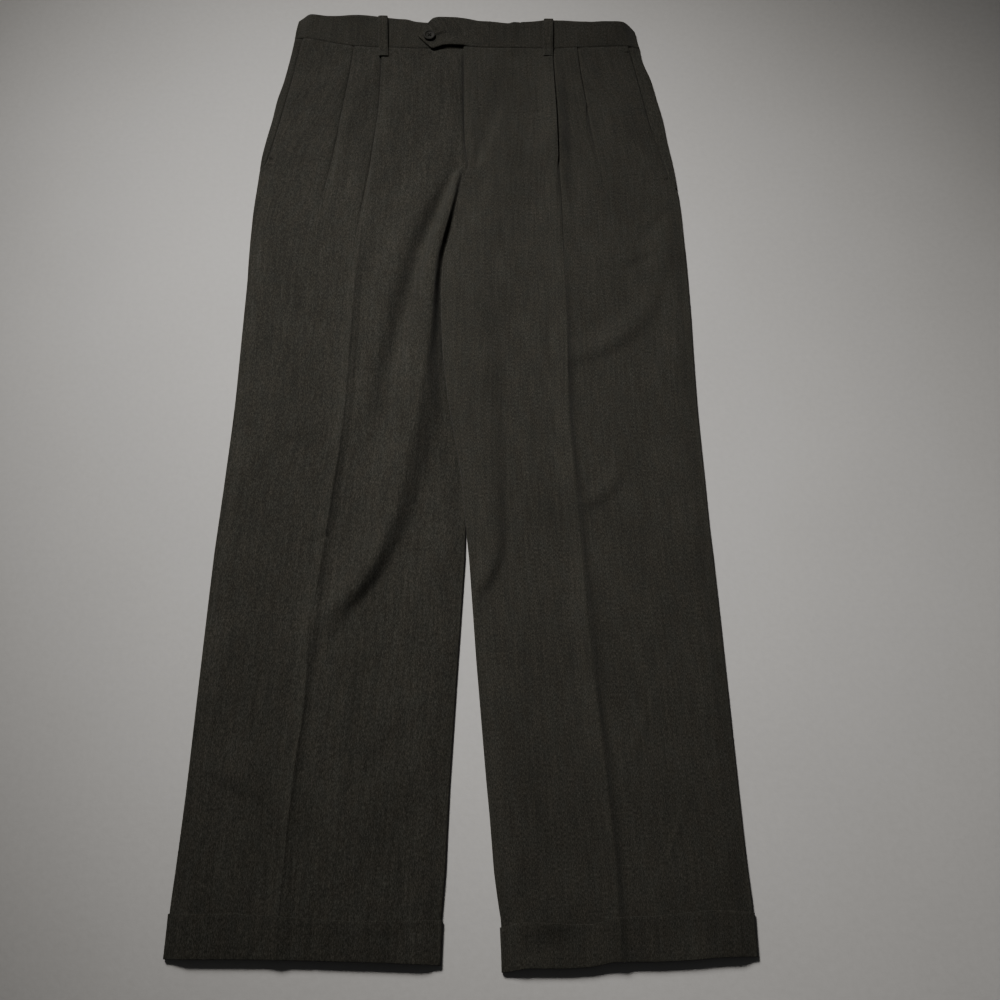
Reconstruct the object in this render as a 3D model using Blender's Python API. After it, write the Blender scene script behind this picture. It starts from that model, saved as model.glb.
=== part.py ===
"""Pleated dress trousers with turned-up cuffs, laid flat on their back.

The model is in metres, +Z up, with the waist toward +Y. Sizes below are in millimetres. "Across" is
measured along X from the part's centre line, and right and left are the wearer's, so the right leg
lies at -X. "Up" is measured along the leg from the lowest point of the hem.

Each panel is a wall of even thickness. At a run of stations up the leg, a path across the leg is
worked out, with its normals, and the wall is the space between the path moved out and moved in.
Paths run from the side seam to the inseam or the centre seam.
"""

import math

import bmesh
import bpy
import numpy as np

MILLIMETRE = 0.001

# Driving dimensions
LENGTH = 1100.0  # from the hem's lowest point to the top of the back waistband
FORK = 794.0  # where the inseams meet the centre seams
CLOTH = 1.1  # wall of a panel, a cuff or a loop
BAND_CLOTH = 2.0  # wall of the waistband, two plies and their stiffening
SEAM_GAP = 0.3
PLY_GAP = 0.4  # between layers that lie on each other
EDGE_RADIUS = 1.6  # outer radius of a leg's folded edge at a seam
BAND_EDGE_RADIUS = 2.6  # the same on the waistband
SEAM_HALF_ANGLE = 10.0  # half of the gap between front and back at an edge, in degrees
SOFT_EDGE = 18.0  # how far from an edge the cloth takes to reach its full loft
ARC_POINTS = 4

# Legs: SIGN turns "inward", from the side seam to the inseam, into the X direction
SIGN = {"right": 1.0, "left": -1.0}


def table(columns, rows):
    """The rows of a short table as one array for each named column."""
    return dict(zip(columns, np.array(rows, float).T))


# The legs' edges from above: side seams and inseams. Above the fork the inseam columns hold nothing.
LEG_EDGES = table(
    ("up", "right_side", "right_inseam", "left_inseam", "left_side"),
    [
        (0, -257.3, -17.8, 36.0, 257.3),
        (50, -256.9, -17.4, 34.8, 256.9),
        (90, -256.0, -14.6, 28.5, 255.4),
        (161, -254.7, -12.1, 21.1, 253.5),
        (273, -254.3, -6.5, 10.9, 251.0),
        (375, -253.7, -1.1, 2.9, 248.5),
        (410, -252.8, -0.7, -0.9, 247.2),
        (460, -251.3, 0.5, -5.1, 246.3),
        (557, -249.5, 9.0, -22.0, 244.8),
        (617, -250.1, 12.0, -29.0, 245.3),
        (665, -250.6, 4.0, -31.5, 246.0),
        (700, -250.9, -8.0, -32.0, 246.0),
        (735, -252.2, -22.0, -31.3, 245.8),
        (757, -252.7, -28.8, -28.5, 245.2),
        (768, -252.9, -26.5, -26.2, 245.0),
        (780, -253.0, -23.1, -22.8, 244.8),
        (794, -253.1, -19.6, -19.3, 244.6),
        (847, -251.4, -19.6, -19.3, 241.5),
        (876, -250.5, -19.6, -19.3, 238.7),
        (906, -247.2, -19.6, -19.3, 234.7),
        (937, -242.6, -19.6, -19.3, 231.7),
        (968, -239.1, -19.6, -19.3, 226.3),
        (1000, -232.5, -19.6, -19.3, 220.7),
        (1032, -227.2, -19.6, -19.3, 211.6),
        (1050, -225.3, -19.6, -19.3, 209.5),
        (1069, -224.3, -19.6, -19.3, 206.9),
        (1089, -222.5, -19.6, -19.3, 205.4),
        (1100, -221.0, -19.6, -19.3, 203.0),
    ],
)

# The fly's folded edge, which the left front ends at, and how far the right front runs on under it
FLY = table(
    ("up", "across", "underlap"),
    [
        (794, -19.3, -0.3),
        (806, -18.6, -0.3),
        (827, -13.6, -0.3),
        (834, -13.0, -0.3),
        (857, -5.0, -0.3),
        (864, -2.4, 5.0),
        (880, -4.4, 11.0),
        (905, -8.0, 20.0),
        (965, -13.6, 31.0),
        (1050, -12.4, 34.0),
    ],
)
CENTRE_BACK = table(("up", "across"), [(794, -19.45), (860, -15.0), (1100, -9.0)])

# The slant pockets: the edge of the front from the band down to the side seam
POCKETS = {
    "right": table(("up", "across"), [(864, -247.6), (905, -237.0), (974, -223.3), (1050, -213.5)]),
    "left": table(("up", "across"), [(834, 238.6), (886, 223.6), (966, 206.3), (1050, 194.0)]),
}
POCKET_END = {"right": 864.0, "left": 834.0}
POCKET_UNDERLAP = 26.0
POCKET_FLARE = 60.0  # length over which the underlap narrows down to the pocket's end
POCKET_LEAST_UNDERLAP = 9.0

# Two reverse pleats a side: "across" is the fold's edge, "depth" the straight part of the cloth
# tucked under it, "turn" the angle that the cloth turns back by, and "radius" that of each turn
PLEAT_COLUMNS = ("up", "across", "depth", "turn", "radius")
PLEATS = {
    ("right", "outer"): table(
        PLEAT_COLUMNS,
        [
            (0, -203, 0, 0, 2.0),
            (300, -199, 0, 0, 2.0),
            (700, -182, 0, 0, 2.0),
            (800, -175.5, 0, 22, 1.7),
            (870, -165.6, 1, 66, 1.4),
            (950, -157, 5, 160, 1.0),
            (1000, -152, 10, 178, 0.85),
            (1050, -148, 14, 180, 0.75),
        ],
    ),
    ("right", "inner"): table(
        PLEAT_COLUMNS,
        [
            (0, -157, 0, 0, 2.0),
            (143, -157, 0, 0, 2.0),
            (292, -148, 0, 0, 2.0),
            (438, -140, 0, 0, 2.0),
            (553, -131, 0, 0, 2.0),
            (680, -130.5, 0, 12, 2.0),
            (760, -127.5, 0, 45, 1.6),
            (842, -118.5, 1, 110, 1.3),
            (917, -115, 6, 170, 1.0),
            (1000, -115, 12, 180, 0.85),
            (1050, -114, 14, 180, 0.75),
        ],
    ),
    ("left", "inner"): table(
        PLEAT_COLUMNS,
        [
            (0, 139.5, 0, 0, 2.0),
            (75, 138, 0, 0, 2.0),
            (215, 128, 0, 0, 2.0),
            (438, 114, 0, 0, 2.0),
            (554, 107.6, 0, 0, 2.0),
            (640, 107.8, 0, 14, 1.7),
            (700, 106.8, 0, 54, 1.5),
            (745, 106.0, 0, 88, 1.4),
            (800, 105.2, 1, 124, 1.3),
            (870, 103.0, 4, 158, 1.2),
            (930, 102.2, 8, 170, 1.1),
            (1000, 100.2, 12, 178, 0.85),
            (1050, 99.0, 14, 180, 0.75),
        ],
    ),
    ("left", "outer"): table(
        PLEAT_COLUMNS,
        [
            (0, 196, 0, 0, 2.0),
            (300, 187, 0, 0, 2.0),
            (600, 169, 0, 0, 2.0),
            (740, 165, 0, 6, 1.7),
            (800, 160.5, 0, 24, 1.5),
            (857, 153.4, 1, 74, 1.3),
            (890, 147.6, 3, 130, 1.2),
            (928, 142.0, 6, 168, 1.0),
            (981, 135.8, 11, 180, 0.85),
            (1050, 130.0, 14, 180, 0.75),
        ],
    ),
}
FOLD_SPREAD = 1.5  # added between the points of a pleat once it has opened out
PLEAT_EASE = 34.0  # how far past a pleat the raised cloth takes to come down

# Soft folds that run along a leg: the crest's place and height, and the widths of its two flanks,
# each one number or a table up the leg
FOLD_COLUMNS = ("up", "across", "height")
FOLDS = [
    {  # the roll from the crotch down the right leg to its crease, steep toward the inseam
        "leg": "right",
        "outward": 40.0,
        "inward": table(
            ("up", "width"),
            [(285, 12), (361, 11), (403, 13), (457, 17), (549, 17), (610, 13), (651, 10), (697, 8),
             (735, 6.5), (765, 6.5), (793, 7.5), (820, 7), (862, 6)],
        ),
        "crest": table(
            FOLD_COLUMNS,
            [
                (285, -140, 0.0),
                (315, -125, 2.5),
                (361, -94, 5.5),
                (403, -76, 7.0),
                (457, -63, 8.0),
                (549, -51, 8.5),
                (610, -44, 8.5),
                (651, -42, 8.5),
                (697, -41, 8.0),
                (735, -38.8, 6.9),
                (768, -34.9, 5.8),
                (793, -28.6, 5.2),
                (820, -23, 4.4),
                (845, -17.5, 2.6),
                (862, -13.5, 0.0),
            ],
        ),
    },
    {  # the swell of the left leg where it lies on the right one
        "leg": "left",
        "outward": 24.0,
        "inward": 24.0,
        "crest": table(
            FOLD_COLUMNS,
            [(340, 40, 0.0), (420, 24, 1.6), (600, 14, 2.4), (720, 10, 2.0), (800, 20, 0.0)],
        ),
    },
    {  # pressed crease, right
        "leg": "right",
        "outward": 17.0,
        "inward": 10.0,
        "crest": table(
            FOLD_COLUMNS,
            [
                (0, -155, 1.6),
                (143, -155, 2.4),
                (292, -146, 3.0),
                (438, -138, 3.2),
                (553, -129, 3.2),
                (680, -127, 2.6),
                (800, -121, 0.0),
            ],
        ),
    },
    {  # pressed crease, left
        "leg": "left",
        "outward": 10.0,
        "inward": 17.0,
        "crest": table(
            FOLD_COLUMNS,
            [
                (0, 137.5, 1.6),
                (75, 136, 2.2),
                (215, 126, 2.8),
                (438, 112, 3.0),
                (554, 105.6, 3.0),
                (680, 106, 2.2),
                (800, 105, 0.0),
            ],
        ),
    },
]
MAIN_FOLDS = {"right": FOLDS[0], "left": FOLDS[1]}  # the largest fold of each leg's inner panel
# A line of mesh points that follows it
CREST_GUIDE = {
    "right": table(
        ("up", "across"),
        [(0, -85), (200, -98), (285, -122), (315, -122), (361, -94), (403, -76), (457, -63),
         (549, -51), (610, -44), (697, -41), (735, -38.8), (768, -34.9), (793, -28.6), (820, -23),
         (845, -17.5), (862, -16), (905, -34), (1050, -60)],
    ),
    "left": table(
        ("up", "across"),
        [(0, 92), (250, 70), (400, 40), (550, 30), (700, 28), (800, 20), (900, 34), (1050, 46)],
    ),
}

# The loft of the fronts: how far the middle of the cloth stands above its edges
LOFT = table(
    ("up", "height"),
    [(0, 3.8), (60, 3.8), (120, 2.8), (300, 2.8), (600, 2.9), (794, 3.1), (1000, 3.2), (1050, 2.9)],
)
POCKET_STEP = 1.6  # the front's pocket edge stands this far above the facing under it
FLY_STEP = 1.6  # the left front stands this far above the right one at the fly
LEG_LIFT = 3.7  # the left leg's inner edge stands this far above the surface, on the right leg
LIFT_START = 4.0  # from the right leg's edge to where the left leg begins to come down
LIFT_EASE = 36.0
LEG_LIFTS = table(("up", "height"), [(340, 0), (410, LEG_LIFT), (757, LEG_LIFT), (794, 0)])
CUFF_RAISE = CLOTH + SEAM_GAP  # the legs stand this far above the surface inside the cuffs

# Lines across the part: the waist seam, the band's top edge, the hem and the tops of the cuffs
WAIST_SEAM = table(
    ("across", "up"),
    [(-227, 1067.5), (-222, 1066.6), (-198, 1061.8), (-171, 1055.2), (-142, 1050.4), (-119, 1049),
     (-67, 1047.4), (22, 1048.4), (60, 1048), (89, 1047), (132, 1048.4), (161, 1049.8), (210, 1051)],
)
BACK_WAIST_SEAM = table(("across", "up"), [(-227, 1067.5), (-120, 1063), (0, 1060), (210, 1051)])
BAND_TOP = table(
    ("across", "up"),
    [(-222, 1098), (-209, 1100), (-176, 1096.8), (-147, 1097.4), (-115, 1094.8), (-86, 1092), (-58, 1086.6),
     (-12, 1087.2), (21, 1086.2), (44, 1084.4), (52, 1086.4), (78, 1088.4), (94, 1090.4), (107, 1090),
     (148, 1087.6), (194, 1085.8), (201, 1082.6), (206, 1078)],
)
BACK_BAND_TOP = table(("across", "up"), [(-222, 1098), (-100, LENGTH), (0, LENGTH), (206, 1078)])
HEM = table(
    ("across", "up"),
    [(-259, 10.5), (-203, 10.5), (-95, 8.6), (-16, 5.5), (35, 0), (86, 3.2), (163, 9), (259, 12.6)],
)
CUFF_TOP = table(
    ("across", "up"),
    [(-259, 47), (-207, 47), (-132, 43), (-97, 41.2), (-16, 41.6), (35, 36), (53, 40), (111, 38.5),
     (139, 44.5), (165, 45.3), (227, 50), (259, 48)],
)
WAIST_EASE = 70.0  # rows above this far below the band follow the waist seam
CUFF_STATION = 44.0  # the station that lies on the cuffs' top edge
HEM_EASE_TOP = 140.0  # rows below this station follow the cuffs
LEG_END = 3.0  # the leg's cloth stops this far above the hem, inside the cuff

# The waistband
BAND_LEVEL = 4.2  # middle of the front band's wall at the sides
BAND_RISE_BOTTOM = 2.5  # how far it rises inward, at its bottom edge and at its top edge
BAND_RISE_TOP = 6.4
BAND_SOFT_EDGE = 26.0
BAND_WAVE = 0.9
TAB_SEAM = 21.5  # where the tab is sewn to the left half
RIGHT_BAND_END = 17.0  # the right half's end, under the tab
TAB_STEP = BAND_CLOTH + PLY_GAP + 0.1
BAND_DROP = table(
    ("across", "depth"), [(-80, 0), (-60, 0.4), (-34, 1.0), (-13, TAB_STEP), (25, TAB_STEP)]
)
TAB_BASE = 1048.6  # the tab's heights are read from here to the band's top edge
TAB = table(
    ("across", "bottom", "top"),
    [
        (-68.2, 1064.2, 1066.2),
        (-63.0, 1058.6, 1074.4),
        (-57.0, 1052.0, 1084.4),
        (-51.0, 1045.8, 1091.6),
        (-43.6, 1051.0, 1094.0),
        (-31.0, 1052.2, 1094.2),
        (-13.0, 1050.8, 1092.6),
        (5.0, 1048.8, 1087.6),
        (TAB_SEAM - SEAM_GAP / 2, 1048.6, 1086.3),
    ],
)

# The belt loops
LOOP_WIDTH = 11.0
LOOP_ACROSS = {"right": (-113.9, -111.0), "left": (95.4, 94.2)}  # middle at the top and the bottom
LOOP_CLEAR = 5.0  # between the band and the loop's middle
LOOP_TOP = 3.0  # how far the top end stands above the band's top edge
LOOP_BOTTOM_UP = 1034.0
# Stations along a loop, from 0 at the top to 1 at the bottom, and how far it stands off there
LOOP_ARCH = table(
    ("part", "clear"),
    [(0, 0), (0.06, 0.3), (0.16, 0.8), (0.3, 1), (0.5, 1), (0.62, 1), (0.76, 0.75), (0.9, 0.2), (1, 0)],
)

# The button
BUTTON_ACROSS, BUTTON_UP = -54.3, 1064.2
BUTTON_RADIUS = 7.3
BUTTON_HOLE_RADIUS = 0.9
BUTTON_HOLE_OFFSET = 1.5
BUTTON_SEGMENTS = 28
BUTTON_PROFILE = table(
    ("radius", "height"),
    [(0, 0), (5.9, 0), (6.9, 0.5), (7.3, 1.3), (7.1, 2.1), (6.3, 2.6), (5.4, 2.5), (4.9, 1.9), (0, 1.7)],
)

# Colours
WOOL_COLOUR, WOOL_ROUGHNESS = (0.030, 0.029, 0.024), 0.85
HORN_COLOUR, HORN_ROUGHNESS = (0.020, 0.018, 0.016), 0.35

# Stations up the leg at which the walls' sections are worked out
FRONT_STATIONS = (3, 24, 44, 52, 90, 140, 210, 280, 340, 375, 410, 450, 500, 550, 590, 630, 665, 700,
                  735, 757, 768, 780, 794, 806, 827, 834, 857, 864, 880, 905, 940, 975, 1010, 1035, 1050)
BACK_STATIONS = (3, 24, 44, 52, 90, 140, 210, 340, 375, 410, 550, 630, 700, 735, 757, 768, 780, 794, 827,
                 857, 905, 975, 1050)
CUFF_STATIONS = (0, 15, 30, 43.5)
FACING_STATIONS = {
    "right": (864.4, 880, 905, 940, 975, 1010, 1050),
    "left": (834.4, 850, 864, 880, 905, 940, 975, 1010, 1050),
}
BAND_PARTS = (0.0, 0.35, 0.7, 1.0)  # rows of the band, from its seam to its top edge
# Where the band's points lie, as shares of the way from the front's end to the side and on to the back
BAND_FRONT_SHARES = (0.0, 0.1255, 0.2134, 0.322, 0.42, 0.54, 0.67, 0.8, 0.89, 0.95)
BAND_BACK_SHARES = (0.12, 0.3, 0.55, 0.8, 1.0)
BAND_EDGE_ANGLES = (90, 60, 30, 0, -30, -60, -90)


def smooth_value(xs, ys, x):
    """A smooth curve through a table's points that never overshoots them."""
    if x <= xs[0] or x >= xs[-1]:
        return float(np.interp(x, xs, ys))
    steps, slopes = np.diff(xs), np.diff(ys) / np.diff(xs)
    tangents = np.zeros(len(xs))
    same_way = slopes[:-1] * slopes[1:] > 0
    inner = 2 * slopes[:-1] * slopes[1:] / np.where(same_way, slopes[:-1] + slopes[1:], 1)
    tangents[1:-1] = np.where(same_way, inner, 0)
    tangents[0], tangents[-1] = slopes[0], slopes[-1]
    k = int(np.searchsorted(xs, x) - 1)
    t = (x - xs[k]) / steps[k]
    a, b = ys[k], ys[k + 1]
    rise = steps[k] * (tangents[k] * t * (1 - t) ** 2 - tangents[k + 1] * t * t * (1 - t))
    return float(a + (b - a) * t * t * (3 - 2 * t) + rise)


def at(data, column, place, key="up"):
    return smooth_value(data[key], data[column], place)


def soft_step(value):
    t = min(max(value, 0.0), 1.0)
    return t * t * (3 - 2 * t)


def straight(data, column, place, key="up"):
    """The table read in straight lines, where a row's exact ends matter."""
    return float(np.interp(place, data[key], data[column]))


# --- where the edges are -------------------------------------------------------------------------


def side_edge(leg, up):
    return at(LEG_EDGES, leg + "_side", up)


def inseam_edge(leg, up):
    return straight(LEG_EDGES, leg + "_inseam", up)


def front_inner_edge(leg, up):
    """Where a front ends: at the inseam below the fork, and at the fly or the seam under it above."""
    if up <= FORK:
        return inseam_edge(leg, up)
    fly = straight(FLY, "across", up)
    return fly if leg == "left" else fly + straight(FLY, "underlap", up)


def back_inner_edge(leg, up):
    if up <= FORK:
        return inseam_edge(leg, up)
    return straight(CENTRE_BACK, "across", up) - SIGN[leg] * SEAM_GAP / 2


def pocket_open(leg, up):
    return up >= POCKET_END[leg]


def front_outer_edge(leg, up):
    return at(POCKETS[leg], "across", up) if pocket_open(leg, up) else side_edge(leg, up)


def inseam_closed(up):
    """0 above the fork, where a panel ends flat at its seam, to 1 where the leg is a closed tube."""
    return min(max((FORK - up) / 37.0, 0.0), 1.0)


def edge_lift(up):
    return straight(LEG_LIFTS, "height", up) if 340 < up < FORK else 0.0


def leg_lift(leg, across, up):
    """How far the left leg is lifted by the right one's edge under it."""
    if leg == "right":
        return 0.0
    past = across - inseam_edge("right", up) - LIFT_START
    return edge_lift(up) * (1 - soft_step(past / LIFT_EASE))


def cuff_raise(up):
    return CUFF_RAISE * (1 - soft_step((up - 52.0) / 70.0))


def waist_share(up):
    return soft_step((up - 1050.0 + WAIST_EASE) / WAIST_EASE)


def hem_share(up):
    return 1 - soft_step((up - CUFF_STATION) / (HEM_EASE_TOP - CUFF_STATION))


def real_up(across, station, back=False):
    """A station's true distance up the leg: its row follows the cuff at the hem and the waist seam."""
    if station > 1050 - WAIST_EASE:
        seam = at(BACK_WAIST_SEAM if back else WAIST_SEAM, "up", across, key="across")
        return station + waist_share(station) * (seam - SEAM_GAP / 2 - 1050)
    if station < HEM_EASE_TOP:
        hem = at(HEM, "up", across, key="across")
        top = at(CUFF_TOP, "up", across, key="across")
        followed = hem + (top - hem) * station / CUFF_STATION
        share = hem_share(station)
        return followed * share + station * (1 - share)
    return station


# --- how high the cloth stands -------------------------------------------------------------------


def flank_width(fold, side, up):
    """One flank's width: one number for the whole fold, or a table up the leg."""
    width = fold[side]
    return at(width, "width", up) if isinstance(width, dict) else width


def fold_height(leg, across, up):
    """All the soft folds of a leg at one point."""
    total = 0.0
    for fold in FOLDS:
        crest = fold["crest"]
        if fold["leg"] != leg or not crest["up"][0] <= up <= crest["up"][-1]:
            continue
        away = (across - at(crest, "across", up)) * SIGN[leg]
        width = flank_width(fold, "inward" if away > 0 else "outward", up)
        if abs(away) < width:
            total += at(crest, "height", up) * math.cos(away / width * math.pi / 2) ** 2
    return total


def loft_edge(leg, up):
    """Where a leg's loft begins on its inner side: the right leg's starts where the left one ends."""
    edge = inseam_edge(leg, up)
    if leg == "right" and up < FORK:
        return min(edge, inseam_edge("left", up) - 2.0)
    return edge


def front_level(leg, across, up):
    """Middle of a front's wall above the surface, without its pleats."""
    from_side = (across - side_edge(leg, up)) * SIGN[leg]
    from_inseam = (loft_edge(leg, up) - across) * SIGN[leg]
    step = POCKET_STEP if pocket_open(leg, up) else 0.0
    loft = at(LOFT, "height", up)
    rise = step + (loft - step) * soft_step((from_side - EDGE_RADIUS) / SOFT_EDGE)
    rise *= 1 - inseam_closed(up) * (1 - soft_step((from_inseam - EDGE_RADIUS) / SOFT_EDGE))
    base = 2 * EDGE_RADIUS - CLOTH / 2 + cuff_raise(up) + leg_lift(leg, across, up)
    return base + rise + fold_height(leg, across, up) + fly_step(leg, across, up)


def fly_step(leg, across, up):
    """The left front's rise over the underlap of the right one."""
    if leg == "right" or up <= 834.0:
        return 0.0
    past = across - front_inner_edge("right", up) - 3.0
    return FLY_STEP * min((up - 834.0) / 23.0, 1.0) * (1 - soft_step(past / 26.0))


def back_level(leg, across, up):
    return CLOTH / 2 + cuff_raise(up) + leg_lift(leg, across, up)


# --- paths across a panel: rows of inward distance, height and the normal's two parts --------------


def path_point(inward, height, heading_inward, heading_up):
    size = math.hypot(heading_inward, heading_up)
    return inward, height, -heading_up / size, heading_inward / size


def level_points(places, level):
    """Points of the path at these inward places, on the surface level(place)."""
    points = []
    for place in places:
        slope = (level(place + 0.5) - level(place - 0.5)) / 1.0
        points.append(path_point(place, level(place), 1.0, slope))
    return points


def edge_arc(edge, centre_height, closed, level, outer, upper):
    """The points of a path where it curls round a leg's edge, from the edge or toward it.

    closed is 1 for the whole curl, and 0 for a flat end. outer is True at the side seam, and upper
    is True for a front.
    """
    radius = EDGE_RADIUS - CLOTH / 2
    toward = -1.0 if outer else 1.0
    over = 1.0 if upper else -1.0
    points = []
    for k in range(ARC_POINTS):
        flat = (1 - k / (ARC_POINTS - 1)) if outer else k / (ARC_POINTS - 1)
        angle = math.radians(90.0 - (90.0 - SEAM_HALF_ANGLE) * closed * flat)
        start = edge - toward * EDGE_RADIUS * closed
        start -= toward * (1 - closed) * (1 - flat) * 3 * FOLD_SPREAD
        inward = start + toward * radius * math.cos(angle)
        base = centre_height if closed > 0 else level(inward) - over * radius
        height = base + over * radius * math.sin(angle)
        normal = (toward * math.cos(angle), over * math.sin(angle))
        points.append((inward, height, *normal))
    return points


def pleat_points(fold_edge, depth, turn, radius, level):
    """A reverse pleat: the path goes in under the fold, turns back to the fold's edge and turns in
    again on top. Returns its points, the rise from its lower layer to its upper one, and its reach.
    """
    turned = math.radians(turn)
    spread = FOLD_SPREAD * (1 - turn / 180.0)
    last = ARC_POINTS - 1
    shape = []
    for k in range(ARC_POINTS):
        heading = turned * k / last
        shape.append((radius * math.sin(heading), radius * (1 - math.cos(heading)), heading))
    end_in, end_up = shape[-1][0] + depth * math.cos(turned), shape[-1][1] + depth * math.sin(turned)
    for k in range(ARC_POINTS):
        heading = turned * (1 - k / last)
        inward = end_in + radius * (math.sin(turned) - math.sin(heading))
        upward = end_up + radius * (math.cos(heading) - math.cos(turned))
        shape.append((inward, upward, heading))
    shape = [(inward + spread * k, upward, heading) for k, (inward, upward, heading) in enumerate(shape)]
    shift = fold_edge - min(inward for inward, _, _ in shape)
    points = []
    for inward, upward, heading in shape:
        place = inward + shift
        slope = level(place + 0.5) - level(place - 0.5)
        along = math.cos(heading)
        points.append(path_point(place, level(place) + upward, along, math.sin(heading) + slope * along))
    reach = max(inward for inward, _, _ in shape) + shift
    return points, shape[-1][1], reach


def between(start, end, parts):
    return [start + (end - start) * part for part in parts]


def pleat_at(leg, name, up):
    pleat = PLEATS[leg, name]
    values = {column: at(pleat, column, up) for column in PLEAT_COLUMNS[1:]}
    values["across"] *= SIGN[leg]
    return values


def front_path(leg, up):
    """A front's path at a station, from its outer edge over both pleats to its inner edge."""
    sign = SIGN[leg]
    outer_edge = front_outer_edge(leg, up) * sign
    inner_edge = front_inner_edge(leg, up) * sign
    closed_side = 0.0 if pocket_open(leg, up) else 1.0
    closed_inner = inseam_closed(up)
    radius = EDGE_RADIUS - CLOTH / 2

    def base(inward):
        return front_level(leg, inward * sign, up)

    edge_top = base(outer_edge + EDGE_RADIUS)
    points = edge_arc(outer_edge, edge_top - radius, closed_side, base, True, True)
    outer = pleat_at(leg, "outer", up)
    start = points[-1][0]
    points += level_points(between(start, outer["across"] - 3.0, (0.4, 0.75, 1.0)), base)
    fold, outer_rise, outer_reach = pleat_points(
        outer["across"], outer["depth"], outer["turn"], outer["radius"], base
    )
    points += fold

    def after_outer(inward):
        return base(inward) + outer_rise * (1 - soft_step((inward - outer_reach - 2.0) / PLEAT_EASE))

    inner = pleat_at(leg, "inner", up)
    places = between(outer_reach + 2.0, inner["across"] - 3.0, (0.0, 0.5, 1.0))
    points += level_points(places, after_outer)
    fold, inner_rise, inner_reach = pleat_points(
        inner["across"], inner["depth"], inner["turn"], inner["radius"], after_outer
    )
    points += fold

    def after_inner(inward):
        eased = 1 - soft_step((inward - inner_reach - 2.0) / (PLEAT_EASE + 2 * inner_rise))
        return after_outer(inward) + inner_rise * eased

    end_top = after_inner(inner_edge - EDGE_RADIUS * closed_inner)
    closing = edge_arc(inner_edge, end_top - radius, closed_inner, after_inner, False, True)
    crest = at(CREST_GUIDE[leg], "across", up) * sign
    start, end = inner_reach + 3.0, closing[0][0]
    crest = min(max(crest, start + 10.0), end - 5.0)
    foot = crest + min(flank_width(MAIN_FOLDS[leg], "inward", up), (end - crest) * 0.56)
    low = loft_edge(leg, up) * sign - EDGE_RADIUS
    low = max(low if low < end - 6.0 else end - SOFT_EDGE, foot + 1.5)
    points += level_points(between(start, crest, (0.0, 0.35, 0.7, 0.9, 1.0)), after_inner)
    points += level_points([*between(crest, foot, (0.3, 0.7, 1.0)), low], after_inner)
    return points + closing


def back_path(leg, up):
    """A back's path at a station, flat on the surface, with both edges curled up."""
    sign = SIGN[leg]
    outer_edge = side_edge(leg, up) * sign
    inner_edge = back_inner_edge(leg, up) * sign
    closed_inner = inseam_closed(up)
    radius = EDGE_RADIUS - CLOTH / 2

    def level(inward):
        return back_level(leg, inward * sign, up)

    start_centre = level(outer_edge + EDGE_RADIUS) + radius
    end_centre = level(inner_edge - EDGE_RADIUS * closed_inner) + radius
    points = edge_arc(outer_edge, start_centre, 1.0, level, True, False)
    closing = edge_arc(inner_edge, end_centre, closed_inner, level, False, False)
    start, end = points[-1][0], closing[0][0]
    lifted = -inseam_edge("right", up) - LIFT_START
    places = [min(lifted - LIFT_EASE * share, end - 4.0 - 12.0 * share) for share in (1.0, 0.5, 0.0)]
    middle = level_points([start + (places[0] - start) * 0.5, *places], level)
    points += [(inward, height, -n_in, -n_up) for inward, height, n_in, n_up in middle]
    return points + closing


def facing_path(leg, up):
    """A pocket facing's path: curled round the side seam's edge, then in under the front."""
    sign = SIGN[leg]
    outer_edge = side_edge(leg, up) * sign
    pocket = at(POCKETS[leg], "across", up) * sign
    narrowing = soft_step((up - POCKET_END[leg]) / POCKET_FLARE)
    under = POCKET_LEAST_UNDERLAP + (POCKET_UNDERLAP - POCKET_LEAST_UNDERLAP) * narrowing
    radius = EDGE_RADIUS - CLOTH / 2

    def level(inward):
        return 2 * EDGE_RADIUS - CLOTH / 2

    points = edge_arc(outer_edge, level(outer_edge) - radius, 1.0, level, True, True)
    return points + level_points(between(points[-1][0], pocket + under, (0.3, 0.65, 1.0)), level)


# --- solids --------------------------------------------------------------------------------------


def surface_rows(leg, stations, path, offset, back=False):
    """Rows of points of a panel's wall, moved off the middle of the cloth along its normals."""
    sign = SIGN[leg]
    rows = []
    for station in stations:
        row = []
        for inward, height, normal_in, normal_up in path(leg, station):
            across = (inward + offset * normal_in) * sign
            place = real_up(inward * sign, station, back)
            row.append((across, place, height + offset * normal_up))
        rows.append(row)
    return rows


def add_object(name, mesh_data, material):
    """A mesh object from a bmesh in millimetres, placed with the part's middle at the origin."""
    bmesh.ops.recalc_face_normals(mesh_data, faces=mesh_data.faces)
    for vertex in mesh_data.verts:
        vertex.co.y -= LENGTH / 2
        vertex.co *= MILLIMETRE
    mesh = bpy.data.meshes.new(name)
    mesh_data.to_mesh(mesh)
    mesh_data.free()
    mesh.materials.append(material)
    mesh.shade_smooth()
    mesh.set_sharp_from_angle(angle=math.radians(50))
    thing = bpy.data.objects.new(name, mesh)
    bpy.context.scene.collection.objects.link(thing)
    return thing


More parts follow.
